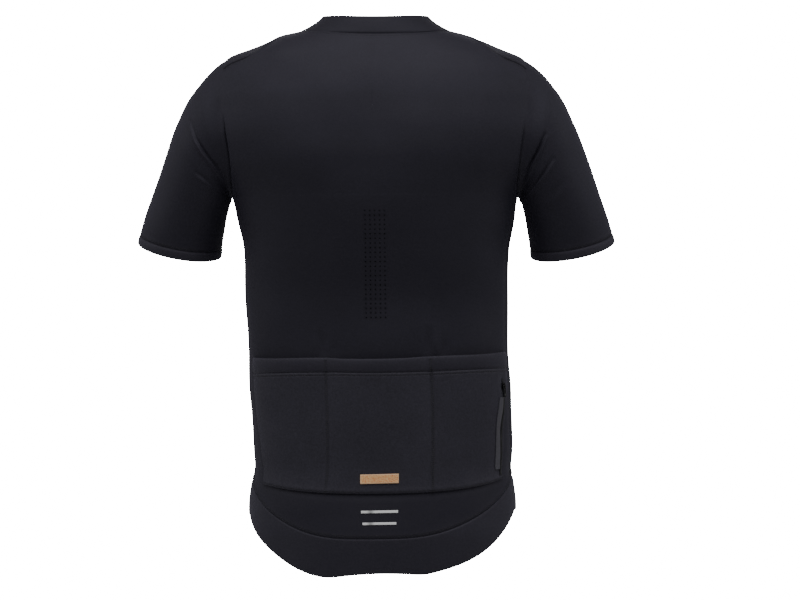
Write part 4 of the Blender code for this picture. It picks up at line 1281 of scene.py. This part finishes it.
# %% The flap, and the tape behind the side pocket's coil
def laid_strip(name, table, lift, thickness, rows=60, lines=6):
    """A strip on the pockets. Each table row is a height, the share there and half a width."""
    heights, shares, halves = np.array(table[::-1]).T
    z = np.linspace(heights[-1], heights[0], rows)[None]
    share, half = through(heights, shares)(z), through(heights, halves)(z)
    step = 0.002  # a small share, over which the surface's own speed is measured
    speed = np.linalg.norm(pocket_at(share + step, z)[0] - pocket_at(share, z)[0], axis=-1) / step
    across = np.linspace(-1, 1, lines)[:, None] * half / speed
    return laid(name, pocket_at, share + across, z + 0 * across, lift, thickness)


FLAP = [  # heights, shares and half widths of the flap beside the coil
    (-0.4835, -0.776, 0.0070),
    (-0.4982, -0.767, 0.0072),
    (-0.5124, -0.752, 0.0063),
    (-0.5279, -0.744, 0.0054),
    (-0.5512, -0.744, 0.0050),
    (-0.5680, -0.744, 0.0048),
    (-0.5761, -0.745, 0.0044),
]
flap_strip = laid_strip("pocket_zip_flap_strip", FLAP, lift=0.0012, thickness=0.0009)
pocket_tape = laid_strip("pocket_zip_tape", COIL, lift=0.0009, thickness=0.0008)
print("strips:", flap_strip.name, pocket_tape.name)

# %% [markdown]
# ## The zips
#
# The front zip is a pair of woven tapes with a nylon coil between them. It is closed up to its
# slider and open above it, so the coil is one row of loops below and two apart above. The side
# pocket has a short coil along its seam.

# %% The front zip's tapes
FRONT_SLIDER_Z = -0.078
TAPE_SINK, TAPE = 0.0011, 0.0008  # the tape goes under the fronts' edges
TAPE_LINES = np.array([0.0, 0.0014, 0.0030, 0.0055, 0.0085])
TAPE_APART = 0.0004  # each open half starts this far from the middle
RIGHTWARDS = np.array([1.0, 0.0, 0.0])
collar_ups = np.linspace(1, 0, 12)[:-1]
upper_line = collar_at(np.full_like(collar_ups, math.pi), collar_ups) * (1 - RIGHTWARDS)
zip_heights = np.linspace(NECK_FRONT[0], float(front_hem_rows[-1]), 170)
lower_line = on_section(np.zeros_like(zip_heights), zip_heights, False)
zip_line = np.concatenate([upper_line, lower_line])
zip_out = unit(np.cross(RIGHTWARDS, unit(np.gradient(zip_line, axis=0))))
zip_out *= -np.sign(zip_out[:, 1:2].sum())


def zip_tape(across, rows):
    points = zip_line[None, rows] + np.array(across)[:, None, None] * RIGHTWARDS
    normals = np.repeat(zip_out[None, rows], len(across), axis=0)
    points = points + normals * (slow_waves(points) - TAPE_SINK)[..., None]
    return shell("front_zip_tape", as_panel(points, normals), TAPE)


def pick(*items):
    """Selects these objects only, or none at all, and makes the first one active."""
    bpy.ops.object.select_all(action="DESELECT")
    for item in items:
        item.select_set(True)
    if items:
        bpy.context.view_layer.objects.active = items[0]


def join(first, *others):
    pick(first, *others)
    bpy.ops.object.join()
    return first


open_rows = int(np.sum(zip_line[:, 2] > FRONT_SLIDER_Z))
front_tape = join(
    zip_tape([*-TAPE_LINES[:0:-1], *TAPE_LINES], slice(open_rows - 1, None)),
    zip_tape([TAPE_APART, *TAPE_LINES[1:]], slice(0, open_rows)),
    zip_tape([-TAPE_APART, *-TAPE_LINES[1:]], slice(0, open_rows)),
)
front_tape.name = "front_zip_tape"
zip_length = np.linalg.norm(np.diff(zip_line, axis=0), axis=1).sum()
print("front zip:", round(float(zip_length), 3), "metres long, open over", open_rows, "rows")

# %% The coils
COIL_SWAY, COIL_LIFT = 0.12, 0.0009
OPEN_APART = 0.0021  # each half's loops, from the middle, above the slider
FRONT_LOOPS = {"pitch": 0.0013, "lift": -0.0005, "turn": math.pi / 2}
CLOSED_LOOPS = {"length": 0.0040, "radius": 0.00046, "sway": COIL_SWAY, **FRONT_LOOPS}
OPEN_LOOPS = {"length": 0.0020, "radius": 0.00044, **FRONT_LOOPS}
POCKET_LOOPS = {"pitch": 0.0012, "length": 0.0026, "radius": 0.00042, "lift": 0.0001}
raised = zip_line + zip_out * slow_waves(zip_line)[:, None]
closed = raised[:, 2] < FRONT_SLIDER_Z
coil_rows = [lay_threads(raised[closed], zip_out[closed], **CLOSED_LOOPS)]
for offset in (-OPEN_APART, OPEN_APART):
    row = raised[~closed] + offset * RIGHTWARDS
    coil_rows.append(lay_threads(row, zip_out[~closed], **OPEN_LOOPS))
front_coil = join_threads("front_zip_coil", coil_rows)
coil_z = np.linspace(COIL[0][0], COIL[-1][0], 90)
coil_line, coil_out = pocket_at(coil_share(coil_z), coil_z, COIL_LIFT)
pocket_row = lay_threads(coil_line, coil_out, turn=math.pi / 2, sway=COIL_SWAY, **POCKET_LOOPS)
pocket_coil = join_threads("pocket_zip_coil", [pocket_row])
print("coil loops:", count_threads(front_coil), count_threads(pocket_coil))

# %% [markdown]
# ## Sliders and pull tabs
#
# A slider is a small cast shield, wide where the coil opens, with a bail on top. The pull is a
# plate with an eye that hangs from the bail. Both are modelled in their own axes, with X across
# the zip and Z outwards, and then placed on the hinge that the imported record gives.

# %% Sizes of the metal pieces
SLIDER = (0.0060, 0.0085, 0.0018)
SLIDER_NOSE = 0.72  # how wide the block's far end is
AXIS_OVER_BLOCK = 0.0009
GROOVE, GROOVE_OUT = (0.0030, 3 * SLIDER[1], 0.0006), 0.0003
BAIL_MAJOR, BAIL_MINOR, BAIL_TALL, BAIL_Z = 0.0022, 0.00042, 1.7, -0.0006
PULL = (0.0046, 0.0150, 0.0010)
PULL_START = -PULL[2] / 2  # the hinge's axis runs inside the pull's upper end
EYE_WIDE, EYE_END = 0.0026, 0.0037
SUNK, SUNK_Y = (PULL[0] - 0.0016, 0.0068, 0.0006), 0.0092
SLIDER_ROUND, PULL_ROUND, PULL_EDGE = 0.0011, 0.0020, 0.00016  # corners and edges
SMOOTH_UNDER = math.radians(35)


# %% Helpers for the metal pieces
def add_block(name, size, middle):
    pick()
    bpy.ops.mesh.primitive_cube_add(size=1, location=middle)
    item = bpy.context.object
    item.name = item.data.name = name
    item.scale = size
    bpy.ops.object.transform_apply(location=True, rotation=True, scale=True)
    return item


def apply_modifier(item, kind, **settings):
    modifier = item.modifiers.new(kind.lower(), kind)
    for key, value in settings.items():
        setattr(modifier, key, value)
    bpy.context.view_layer.objects.active = item
    bpy.ops.object.modifier_apply(modifier=modifier.name)


def cut_away(item, name, size, middle):
    cutter = add_block(item.name + name, size, middle)
    apply_modifier(item, "BOOLEAN", operation="DIFFERENCE", object=cutter, solver="EXACT")
    bpy.data.objects.remove(cutter)


def round_corners(item, width, segments, beyond):
    """Rounds the upright edges that lie beyond this y."""
    weights = item.data.attributes.new("bevel_weight_edge", "FLOAT", "EDGE")
    for edge in item.data.edges:
        start, end = (item.data.vertices[v].co for v in edge.vertices)
        upright = abs(start.z - end.z) > 1e-6 and min(start.y, end.y) > beyond
        weights.data[edge.index].value = float(upright)
    apply_modifier(item, "BEVEL", width=width, segments=segments, limit_method="WEIGHT")


# %% Model one slider and one pull, and place them on a hinge
def make_slider(name):
    middle_z = -AXIS_OVER_BLOCK - SLIDER[2] / 2
    body = add_block(name, SLIDER, (0, 0, middle_z))
    for vertex in body.data.vertices:
        if vertex.co.y > 0:
            vertex.co.x *= SLIDER_NOSE
    round_corners(body, SLIDER_ROUND, 4, -SLIDER[1])
    for side in (-1, 1):
        cut_away(body, "_groove", GROOVE, (side * (SLIDER[0] / 2 + GROOVE_OUT), 0, middle_z))
    pick()
    bpy.ops.mesh.primitive_torus_add(
        major_radius=BAIL_MAJOR,
        minor_radius=BAIL_MINOR,
        major_segments=32,
        minor_segments=12,
        rotation=(0, math.pi / 2, 0),
        location=(0, 0, BAIL_Z),
    )
    bail = bpy.context.object
    bail.scale.z = BAIL_TALL
    bpy.ops.object.transform_apply(location=True, rotation=True, scale=True)
    return join(body, bail)


def make_pull(name):
    middle_y = PULL_START + PULL[1] / 2
    pull = add_block(name, PULL, (0, middle_y, 0))
    round_corners(pull, PULL_ROUND, 6, middle_y)
    eye = (EYE_WIDE, EYE_END + PULL_START, 0.01)
    cut_away(pull, "_eye", eye, (0, (EYE_END - PULL_START) / 2, 0))
    for side in (-1, 1):
        cut_away(pull, "_panel", SUNK, (0, SUNK_Y, side * (PULL[2] / 2 + 0.0001)))
    apply_modifier(pull, "BEVEL", width=PULL_EDGE, segments=2, limit_method="ANGLE")
    return pull


def place_on_hinge(item, joint, outward):
    """Puts a piece modelled in its own axes on the hinge of this joint."""
    across = Vector(joint["axis"]).normalized()
    outward = (outward - across * outward.dot(across)).normalized()
    place = Matrix((across, outward.cross(across), outward)).transposed().to_4x4()
    place.translation = Vector(joint["pos_m"])
    item.data.transform(place)
    pick(item)
    bpy.ops.object.shade_smooth_by_angle(angle=SMOOTH_UNDER)
    return item


# %% Two sliders and two pulls
joints = {joint["name"]: joint for joint in frame["record"]["behaviour"]["joints"]}
nearest = int(np.argmin(np.abs(zip_line[:, 2] - FRONT_SLIDER_Z)))
sliders, pulls = {}, {}
for word, outward in (("front", zip_out[nearest]), ("pocket", coil_out[5])):
    hinge = (joints[word + "_pull_swing"], Vector(outward))
    sliders[word] = place_on_hinge(make_slider(word + "_slider_body"), *hinge)
    pulls[word] = place_on_hinge(make_pull(word + "_pull_tab"), *hinge)
metal = [*sliders.values(), *pulls.values()]
print("metal, in faces:", {item.name: len(item.data.polygons) for item in metal})

# %% [markdown]
# ## Stitching
#
# Flat seams are held by two rows of cover stitch, a few millimetres from the join. The rows
# follow the panels' edges. Two more run down each divider of the pockets.

# %% Sew the seams
STITCH, STITCH_PITCH, STITCH_RADIUS = 0.0021, 0.0030, 0.00021
NEAR_ROW, FAR_ROW = 0.0024, 0.0046
CAP_Z = -0.128  # no stitch shows at the armholes above this height


def seam_rows(panel, sides, distances=(NEAR_ROW, FAR_ROW), under=1.0):
    """Rows of stitches along these sides of a panel, at these distances from the edge."""
    thread = (STITCH_PITCH, STITCH, STITCH_RADIUS)
    return [
        lay_threads(*beside(panel, side, far), *thread, under=under)
        for side in sides
        for far in distances
    ]


rows = seam_rows(back, "tb") + seam_rows(back, "lr", (NEAR_ROW,), CAP_Z)
for front in fronts.values():
    rows += seam_rows(front, "tb") + seam_rows(front, "l", (0.0020,))
body_stitches = join_threads("body_stitches", rows)
rows = []
for sleeve in sleeves.values():
    rows += seam_rows(sleeve.panel, "b", (0.0022, 0.0040))
    rows += seam_rows(sleeve.panel, "t", (NEAR_ROW,), CAP_Z)
sleeve_stitches = join_threads("sleeve_stitches", rows)

# %% Sew the pockets
rows = seam_rows(pocket_panel, "t", (0.0022, 0.0042))
for side in "lr":
    rows += seam_rows(pocket_panel, side, (0.0016,)) + seam_rows(pocket_band, side, (0.0016,))
cover_stitches = join_threads("pocket_cover_stitches", rows)
rows = seam_rows(pocket_panel, "b", (0.0018,))
DIVIDER_ROW, DIVIDER_STITCH = 0.0011, {"pitch": 0.0026, "length": 0.0015}
DIVIDER_THREADS = {"left": 0.00042, "right": 0.00056}
divider_z = np.linspace(POCKET_MOUTH_Z - 0.001, POCKET_BOTTOM[0] - 0.0004, 110)
divider_t = (POCKET_MOUTH_Z - divider_z) / (POCKET_MOUTH_Z - pocket_bottom(np.array(DIVIDER)))
band_end = POCKET_MOUTH_Z - POCKET_BAND
in_band = ease(divider_z, band_end - 0.001, band_end + 0.002)
for word, radius in DIVIDER_THREADS.items():
    for offset in (-DIVIDER_ROW, DIVIDER_ROW):
        share = divider_share(word, divider_t) + offset / across_at(divider_z)
        line, outs = pocket_at(share, divider_z, 0.0001 + BAND_ROUND * 0.8 * in_band)
        rows.append(lay_threads(line, outs, radius=radius, **DIVIDER_STITCH))
divider_stitches = join_threads("pocket_divider_stitches", rows)
threads = [body_stitches, sleeve_stitches, cover_stitches, divider_stitches]
print("stitches:", {item.name: count_threads(item) for item in threads})

# %% [markdown]
# ## Knit as a shader
#
# Fine jersey knit shows columns of small V-shaped loops. The group below draws them from the
# cloth's own coordinates in metres: a wave down each column, bent into a V by the distance from
# the column's middle. It gives out a height for a bump and a shade for the colour, and adds the
# slow mottling of a dyed knit. Each cloth sets its own sizes.

# %% Node helpers
def feed(tree, node, values):
    """Links each input of the node to a socket, or sets it to a value."""
    for label, value in values.items():
        if isinstance(value, bpy.types.NodeSocket):
            tree.links.new(value, node.inputs[label])
        else:
            node.inputs[label].default_value = value


def add_node(tree, kind, place, values=None, **settings):
    node = tree.nodes.new("ShaderNode" + kind)
    node.location = place
    for key, value in settings.items():
        setattr(node, key, value)
    feed(tree, node, values or {})
    return node


def maths(tree, operation, place, *values):
    node = add_node(tree, "Math", place, dict(enumerate(values)), operation=operation)
    return node.outputs[0]


def noise(tree, place, where, scale, detail, rough=0.5):
    values = {"Vector": where, "Scale": scale, "Detail": detail, "Roughness": rough}
    return add_node(tree, "TexNoise", place, values).outputs[0]


def separate(tree, place, vector):
    return add_node(tree, "SeparateXYZ", place, {0: vector}).outputs


# %% The knit group
KNIT_INPUTS = {"Wale": 0.0009, "Course": 0.0007, "Mottle size": 900.0, "Loops in shade": 0.3}
knit = bpy.data.node_groups.new("knit loops", "ShaderNodeTree")
for label, value in KNIT_INPUTS.items():
    socket = knit.interface.new_socket(label, in_out="INPUT", socket_type="NodeSocketFloat")
    socket.default_value = value
for label in ("Height", "Shade"):
    knit.interface.new_socket(label, in_out="OUTPUT", socket_type="NodeSocketFloat")
given = knit.nodes.new("NodeGroupInput").outputs
result = knit.nodes.new("NodeGroupOutput")
result.location = (900, 0)
cloth_uv = add_node(knit, "UVMap", (-1200, 300), uv_map="cloth").outputs[0]
parts = separate(knit, (-1000, 300), cloth_uv)
across = maths(knit, "DIVIDE", (-800, 400), parts[0], given["Wale"])
down = maths(knit, "DIVIDE", (-800, 200), parts[1], given["Course"])
column = maths(knit, "PINGPONG", (-600, 400), across, 0.5)
leg = maths(knit, "MULTIPLY", (-400, 400), column, 2.0)
bent = maths(knit, "ADD", (-400, 200), down, column)
wave = maths(knit, "SINE", (-100, 200), maths(knit, "MULTIPLY", (-250, 200), bent, 2 * math.pi))
round_leg = maths(knit, "SINE", (-100, 400), maths(knit, "MULTIPLY", (-250, 400), leg, math.pi))
low_wave = maths(knit, "MULTIPLY", (0, 200), wave, 0.25)
low_leg = maths(knit, "MULTIPLY", (0, 400), round_leg, 0.5)
loops = maths(knit, "ADD", (200, 300), low_wave, low_leg)
spots = add_node(knit, "TexCoord", (-1200, -200)).outputs["Object"]
mottle = noise(knit, (-800, -150), spots, given["Mottle size"], 3.0)
slow = noise(knit, (-800, -450), spots, 38.0, 2.0)
fine = maths(knit, "MULTIPLY", (-500, -150), mottle, 0.84)
broad = maths(knit, "MULTIPLY", (-500, -450), slow, 0.16)
both = maths(knit, "ADD", (-300, -250), fine, broad)
loop_share = maths(knit, "MULTIPLY", (400, 0), loops, given["Loops in shade"])
shade = maths(knit, "ADD", (600, -100), both, loop_share)
feed(knit, result, {"Height": loops, "Shade": shade})
print("knit group:", len(knit.nodes), "nodes")


# %% Make a cloth
def new_material(name):
    material = bpy.data.materials.new(name)
    material.use_nodes = True
    tree = material.node_tree
    return material, tree, tree.nodes["Principled BSDF"]


def shaded_colour(tree, shade, dark, light, low=0.25, high=0.85):
    ramp = add_node(tree, "ValToRGB", (-300, 200), {0: shade})
    for stop, place, colour in zip(ramp.color_ramp.elements, (low, high), (dark, light)):
        stop.position, stop.color = place, (*colour, 1)
    return ramp.outputs[0]


def bump(tree, height, strength, distance):
    values = {"Height": height, "Strength": strength, "Distance": distance}
    return add_node(tree, "Bump", (-300, -200), values).outputs[0]


# %% The four knits
SHEEN_TINT, SPECULAR_TINT = (0.66, 0.63, 0.86, 1.0), (0.84, 0.81, 1.0, 1.0)  # both are cool
Cloth = namedtuple("Cloth", "dark light wale course mottle rough sheen depth")
CLOTHS = {
    "body knit": Cloth(
        (0.0085, 0.0078, 0.0116), (0.0190, 0.0175, 0.0255),
        0.0009, 0.0007, 800.0, 0.62, 0.10, 0.00010,
    ),
    "pocket knit": Cloth(
        (0.0160, 0.0150, 0.0200), (0.0390, 0.0370, 0.0490),
        0.0013, 0.0011, 480.0, 0.66, 0.10, 0.00016,
    ),
    "band knit": Cloth(
        (0.0143, 0.0133, 0.0185), (0.0297, 0.0277, 0.0380),
        0.0007, 0.0012, 700.0, 0.58, 0.12, 0.00012,
    ),
    # painted shade: the collar's knit is the body knit made darker, to dull a collar lit from above
    "collar knit with painted shade": Cloth(
        (0.0066, 0.0061, 0.0090), (0.0148, 0.0137, 0.0200),
        0.0008, 0.0007, 800.0, 0.64, 0.07, 0.00010,
    ),
}


def make_cloth(name, cloth):
    material, tree, shader = new_material(name)
    sizes = {"Wale": cloth.wale, "Course": cloth.course, "Mottle size": cloth.mottle}
    loops = add_node(tree, "Group", (-600, 0), sizes, node_tree=knit)
    values = {
        "Base Color": shaded_colour(tree, loops.outputs["Shade"], cloth.dark, cloth.light),
        "Normal": bump(tree, loops.outputs["Height"], 0.6, cloth.depth),
        "Roughness": cloth.rough,
        "Specular IOR Level": 0.35,
        "Sheen Weight": cloth.sheen,
        "Sheen Roughness": 0.45,
        "Sheen Tint": SHEEN_TINT,
        "Specular Tint": SPECULAR_TINT,
    }
    feed(tree, shader, values)
    return material


materials = {name: make_cloth(name, cloth) for name, cloth in CLOTHS.items()}
print("knits:", ", ".join(materials))

# %% [markdown]
# ## Thread, tape, metal, patch and foil
#
# Thread and tape are smoother than the knit. The slider's enamel is near black, with fine grain.
# The patch is a tan grained sheet with a painted highlight along its edges. The bars are a
# silver foil of tiny glass beads, which glitter unevenly, with painted shade where the tail folds.

# %% Plain finishes with grain
FINE = (0.00003, (1, 1, 1))  # the grain's depth and stretch, unless a finish gives its own
Finish = namedtuple("Finish", "dark light scale rough depth stretch", defaults=FINE)
FINISHES = {
    "dark thread": Finish((0.004, 0.004, 0.005), (0.010, 0.010, 0.012), 2500, 0.45),
    "cover thread": Finish((0.034, 0.032, 0.040), (0.080, 0.076, 0.094), 2500, 0.5),
    "woven tape": Finish(
        (0.0055, 0.0052, 0.0082), (0.0145, 0.0136, 0.0205), 1600, 0.6, 0.0001, (3, 3, 0.6)
    ),
    "nylon coil": Finish((0.006, 0.006, 0.007), (0.014, 0.014, 0.016), 900, 0.30),
    "grey laminate": Finish((0.056, 0.054, 0.067), (0.090, 0.087, 0.108), 700, 0.42),
    "black enamel": Finish((0.0015, 0.0015, 0.0022), (0.005, 0.005, 0.007), 600, 0.22),
    "bead foil": Finish((0.86, 0.86, 0.88), (1.0, 1.0, 1.0), 1500, 0.36, 0.00005),
}


def make_finish(name, finish):
    material, tree, shader = new_material(name)
    where = add_node(tree, "TexCoord", (-1100, 0)).outputs["Object"]
    turned = add_node(tree, "Mapping", (-900, 0), {0: where, "Scale": finish.stretch})
    grain = noise(tree, (-650, 0), turned.outputs[0], finish.scale, 4.0)
    values = {
        "Base Color": shaded_colour(tree, grain, finish.dark, finish.light, 0.35, 0.70),
        "Normal": bump(tree, grain, 0.5, finish.depth),
        "Roughness": finish.rough,
    }
    feed(tree, shader, values)
    return material


def blend_near(tree, shader, distance, reach, share, near):
    """Mixes a colour into the shader's own, from this share down to none at reach."""
    fade = {0: distance, "From Max": reach, "To Min": share, "To Max": 0.0}
    amount = add_node(tree, "MapRange", (-150, 500), fade, interpolation_type="SMOOTHSTEP")
    own = shader.inputs["Base Color"].links[0].from_socket
    mix = {0: amount.outputs[0], 6: own, 7: (*near, 1)}
    mixed = add_node(tree, "Mix", (50, 400), mix, data_type="RGBA")
    feed(tree, shader, {"Base Color": mixed.outputs[2]})


materials.update({name: make_finish(name, finish) for name, finish in FINISHES.items()})
print("finishes:", ", ".join(FINISHES))

# %% Painted shade of a soft fold in the tail darkens one place on the bars
SHADED_FOLD_X, SHADED_FOLD_REACH = 0.0022, 0.0065
foil_tree = materials["bead foil"].node_tree
foil_shader = foil_tree.nodes["Principled BSDF"]
where = add_node(foil_tree, "TexCoord", (-900, 500)).outputs["Object"]
foil_x = separate(foil_tree, (-700, 500), where)[0]
from_shaded_fold = maths(foil_tree, "SUBTRACT", (-500, 500), foil_x, SHADED_FOLD_X)
from_shaded_fold = maths(foil_tree, "ABSOLUTE", (-350, 500), from_shaded_fold)
# painted shade: dark grey mixed into the foil towards the fold's middle
blend_near(foil_tree, foil_shader, from_shaded_fold, SHADED_FOLD_REACH, 0.62, (0.10, 0.10, 0.105))

# %% The tan patch: mottled grain, flecks, and a painted highlight along its edges
EDGE_HIGHLIGHT_REACH = 0.0013
materials["tan patch"], tan_tree, tan_shader = new_material("tan patch")
where = add_node(tan_tree, "TexCoord", (-1300, 0)).outputs["Object"]
grain = noise(tan_tree, (-1000, 200), where, 420.0, 6.0, 0.7)
cells = {"Vector": where, "Scale": 700.0}
flecks = add_node(tan_tree, "TexVoronoi", (-1000, -150), cells, feature="F1").outputs[0]
grain = maths(tan_tree, "MULTIPLY", (-850, 200), grain, 0.75)
flecks = maths(tan_tree, "MULTIPLY", (-850, -100), flecks, 0.35)
mixed = maths(tan_tree, "ADD", (-700, 100), grain, flecks)
TAN_DARK, TAN_LIGHT = (0.80, 0.205, 0.060), (1.0, 0.66, 0.32)
values = {
    "Base Color": shaded_colour(tan_tree, mixed, TAN_DARK, TAN_LIGHT, 0.28, 0.70),
    "Normal": bump(tan_tree, mixed, 0.7, 0.00015),
    "Roughness": 0.62,
}
feed(tan_tree, tan_shader, values)
edge_uv = add_node(tan_tree, "UVMap", (-1300, 700), uv_map="cloth").outputs[0]
edge_parts = separate(tan_tree, (-1150, 700), edge_uv)
inward = [
    maths(tan_tree, "PINGPONG", (-950, 800 - 150 * k), edge_parts[k], LABEL[k] / 2) for k in (0, 1)
]
nearest_edge = maths(tan_tree, "MINIMUM", (-700, 700), *inward)
# painted highlight: light cream mixed into the colour near every edge of the patch
blend_near(tan_tree, tan_shader, nearest_edge, EDGE_HIGHLIGHT_REACH, 0.55, (1.0, 0.74, 0.50))
print("materials:", len(materials))

# %% [markdown]
# ## Put it together
#
# Every piece rides on the jersey's body or on a pull's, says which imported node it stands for
# and which finish it takes. Each cloth also gives the flat size it was cut to.

Cut = namedtuple("Cut", "piece node slot material flat area held")


def pair(pieces, name, *rest):
    return [Cut(piece, f"{name}_{word}", *rest) for word, piece in pieces.items()]


sleeve_cloths = {word: sleeve.cloth for word, sleeve in sleeves.items()}
cuff_bands = {word: sleeve.band for word, sleeve in sleeves.items()}
BODY, FOLDED = ("knit", "body knit"), ("hem_knit", "band knit")
CUTS = [
    Cut(back_cloth, "back", *BODY, (0.560, 0.700), 0.300, "hung"),
    *pair(front_cloths, "front", *BODY, (0.300, 0.680), 0.150, "hung"),
    *pair(sleeve_cloths, "sleeve", *BODY, (0.440, 0.250), 0.075, "hung"),
    *pair(cuff_bands, "cuff", *FOLDED, (0.370, 0.0108), None, "stretched"),
    Cut(collar_cloth, "collar", "hem_knit", "collar knit with painted shade", (0.490, 0.034), None, "stretched"),
    Cut(pocket_band_cloth, "pocket_band", *FOLDED, (0.420, 0.0205), None, "stretched"),
    Cut(pocket_cloth, "pocket_panel", "knit", "pocket knit", (0.420, 0.157), 0.060, "stretched"),
    Cut(hem_back_band, "hem_back", *FOLDED, (0.480, 0.120), 0.020, "stretched"),
    *pair(front_hem_bands, "hem_front", *FOLDED, (0.250, 0.0345), None, "stretched"),
    Cut(front_tape, "front_zip", "zip_tape", "woven tape", (0.0170, 0.600), None, "hung"),
    Cut(label_patch, "label", "patch", "tan patch", LABEL, None, "laid"),
]


def sheet_area(piece):
    return sum(face.area for face in piece.data.polygons) / 2


for cut in CUTS:
    flat_area = cut.flat[0] * cut.flat[1]
    print(f"{cut.node}: {sheet_area(cut.piece):.4f} of {flat_area:.4f} square metres")
    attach(cut.piece, "jersey")
    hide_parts(cut.node)
    cut.piece.data.materials.append(materials[cut.material])

# %% Ride and finish the trims
METAL = ("slider_paint", "black enamel")
THREADS, COILS = ("knit", "dark thread", "jersey"), ("zip_tape", "nylon coil", "jersey")
TRIMS = [
    (flap_strip, "pocket_zip_flap", "flap", "grey laminate", "jersey"),
    (pocket_coil, "pocket_zip", *COILS),
    *((bars[node], node, "reflective", "bead foil", "jersey") for node in BARS),
    *((sliders[word], word + "_zip_slider", *METAL, "jersey") for word in ("pocket", "front")),
    *((pulls[word], word + "_zip_pull", *METAL, word + "_pull") for word in ("pocket", "front")),
    (pocket_tape, None, "zip_tape", "woven tape", "jersey"),
    (front_coil, None, *COILS),
    (body_stitches, None, *THREADS),
    (sleeve_stitches, None, *THREADS),
    (divider_stitches, None, *THREADS),
    (cover_stitches, None, "hem_knit", "cover thread", "jersey"),
]
for piece, node, slot, material, body in TRIMS:
    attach(piece, body)
    if node:
        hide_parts(node)
    piece.data.materials.clear()
    piece.data.materials.append(materials[material])
print("pieces:", len(CUTS) + len(TRIMS))

# %% [markdown]
# ## Camera, floor and light
#
# The jersey is seen square from behind through a long lens, which keeps its proportions. The
# surroundings are white. Large soft lights stand above and to both sides, so that the
# shoulders and the outer edges are lighter than the hollow of the back.

# %% Camera
EYE = Vector((-0.163, 4.998, -0.3535))
TARGET = Vector((-0.0323, 0.0, -0.3535))
camera_data = bpy.data.cameras.new("camera")
camera_data.lens, camera_data.sensor_width = 170.6, 36.0


def aim(name, data, place, target):
    """Adds a camera or a light that looks at the target."""
    item = bpy.data.objects.new(name, data)
    item.location = place
    item.rotation_mode = "QUATERNION"
    item.rotation_quaternion = (target - Vector(place)).to_track_quat("-Z", "Y")
    bpy.context.scene.collection.objects.link(item)
    return item


bpy.context.scene.camera = aim("camera", camera_data, EYE, TARGET)
print("camera:", round((TARGET - EYE).length, 3), "metres away")

# %% Floor and surroundings
FLOOR_Z = -1.25
pick()
bpy.ops.mesh.primitive_plane_add(size=7, location=(0, 0, FLOOR_Z))
floor = bpy.context.object
floor.name = "floor"
pale, pale_tree, pale_shader = new_material("floor white")
feed(pale_tree, pale_shader, {"Base Color": (0.72, 0.72, 0.72, 1), "Roughness": 0.9})
floor.data.materials.append(pale)

world = bpy.data.worlds.new("studio")
bpy.context.scene.world = world
world.use_nodes = True
sky = world.node_tree
WHITE, LIT, SEEN = (1.0, 1.0, 1.0, 1.0), 0.15, 30.0  # the sky is plain white to the camera
feed(sky, sky.nodes["Background"], {"Color": WHITE, "Strength": LIT})
seen = add_node(sky, "Background", (-200, -200), {"Color": WHITE, "Strength": SEEN})
to_camera = add_node(sky, "LightPath", (-200, 300)).outputs["Is Camera Ray"]
shaders = {0: to_camera, 1: sky.nodes["Background"].outputs[0], 2: seen.outputs[0]}
choose = add_node(sky, "MixShader", (100, 0), shaders)
feed(sky, sky.nodes["World Output"], {0: choose.outputs[0]})

# %% Lights
LIT_PLACE = Vector((0, 0, -0.3))
Light = namedtuple("Light", "name place size power")
LIGHTS = [
    Light("overhead", (0.0, 1.2, 2.2), (2.4, 1.8), 53.0),
    Light("left side", (2.4, 0.1, 0.9), (1.0, 1.8), 12.0),
    Light("right side", (-2.4, 0.1, 0.9), (1.0, 1.8), 12.0),
    Light("front fill", (0.0, -2.6, 0.8), (2.0, 1.5), 9.0),
]
for light in LIGHTS:
    data = bpy.data.lights.new(light.name, "AREA")
    data.shape, data.size, data.size_y = "RECTANGLE", *light.size
    data.energy = light.power
    aim(light.name, data, light.place, LIT_PLACE)
print("lights:", ", ".join(light.name for light in LIGHTS))
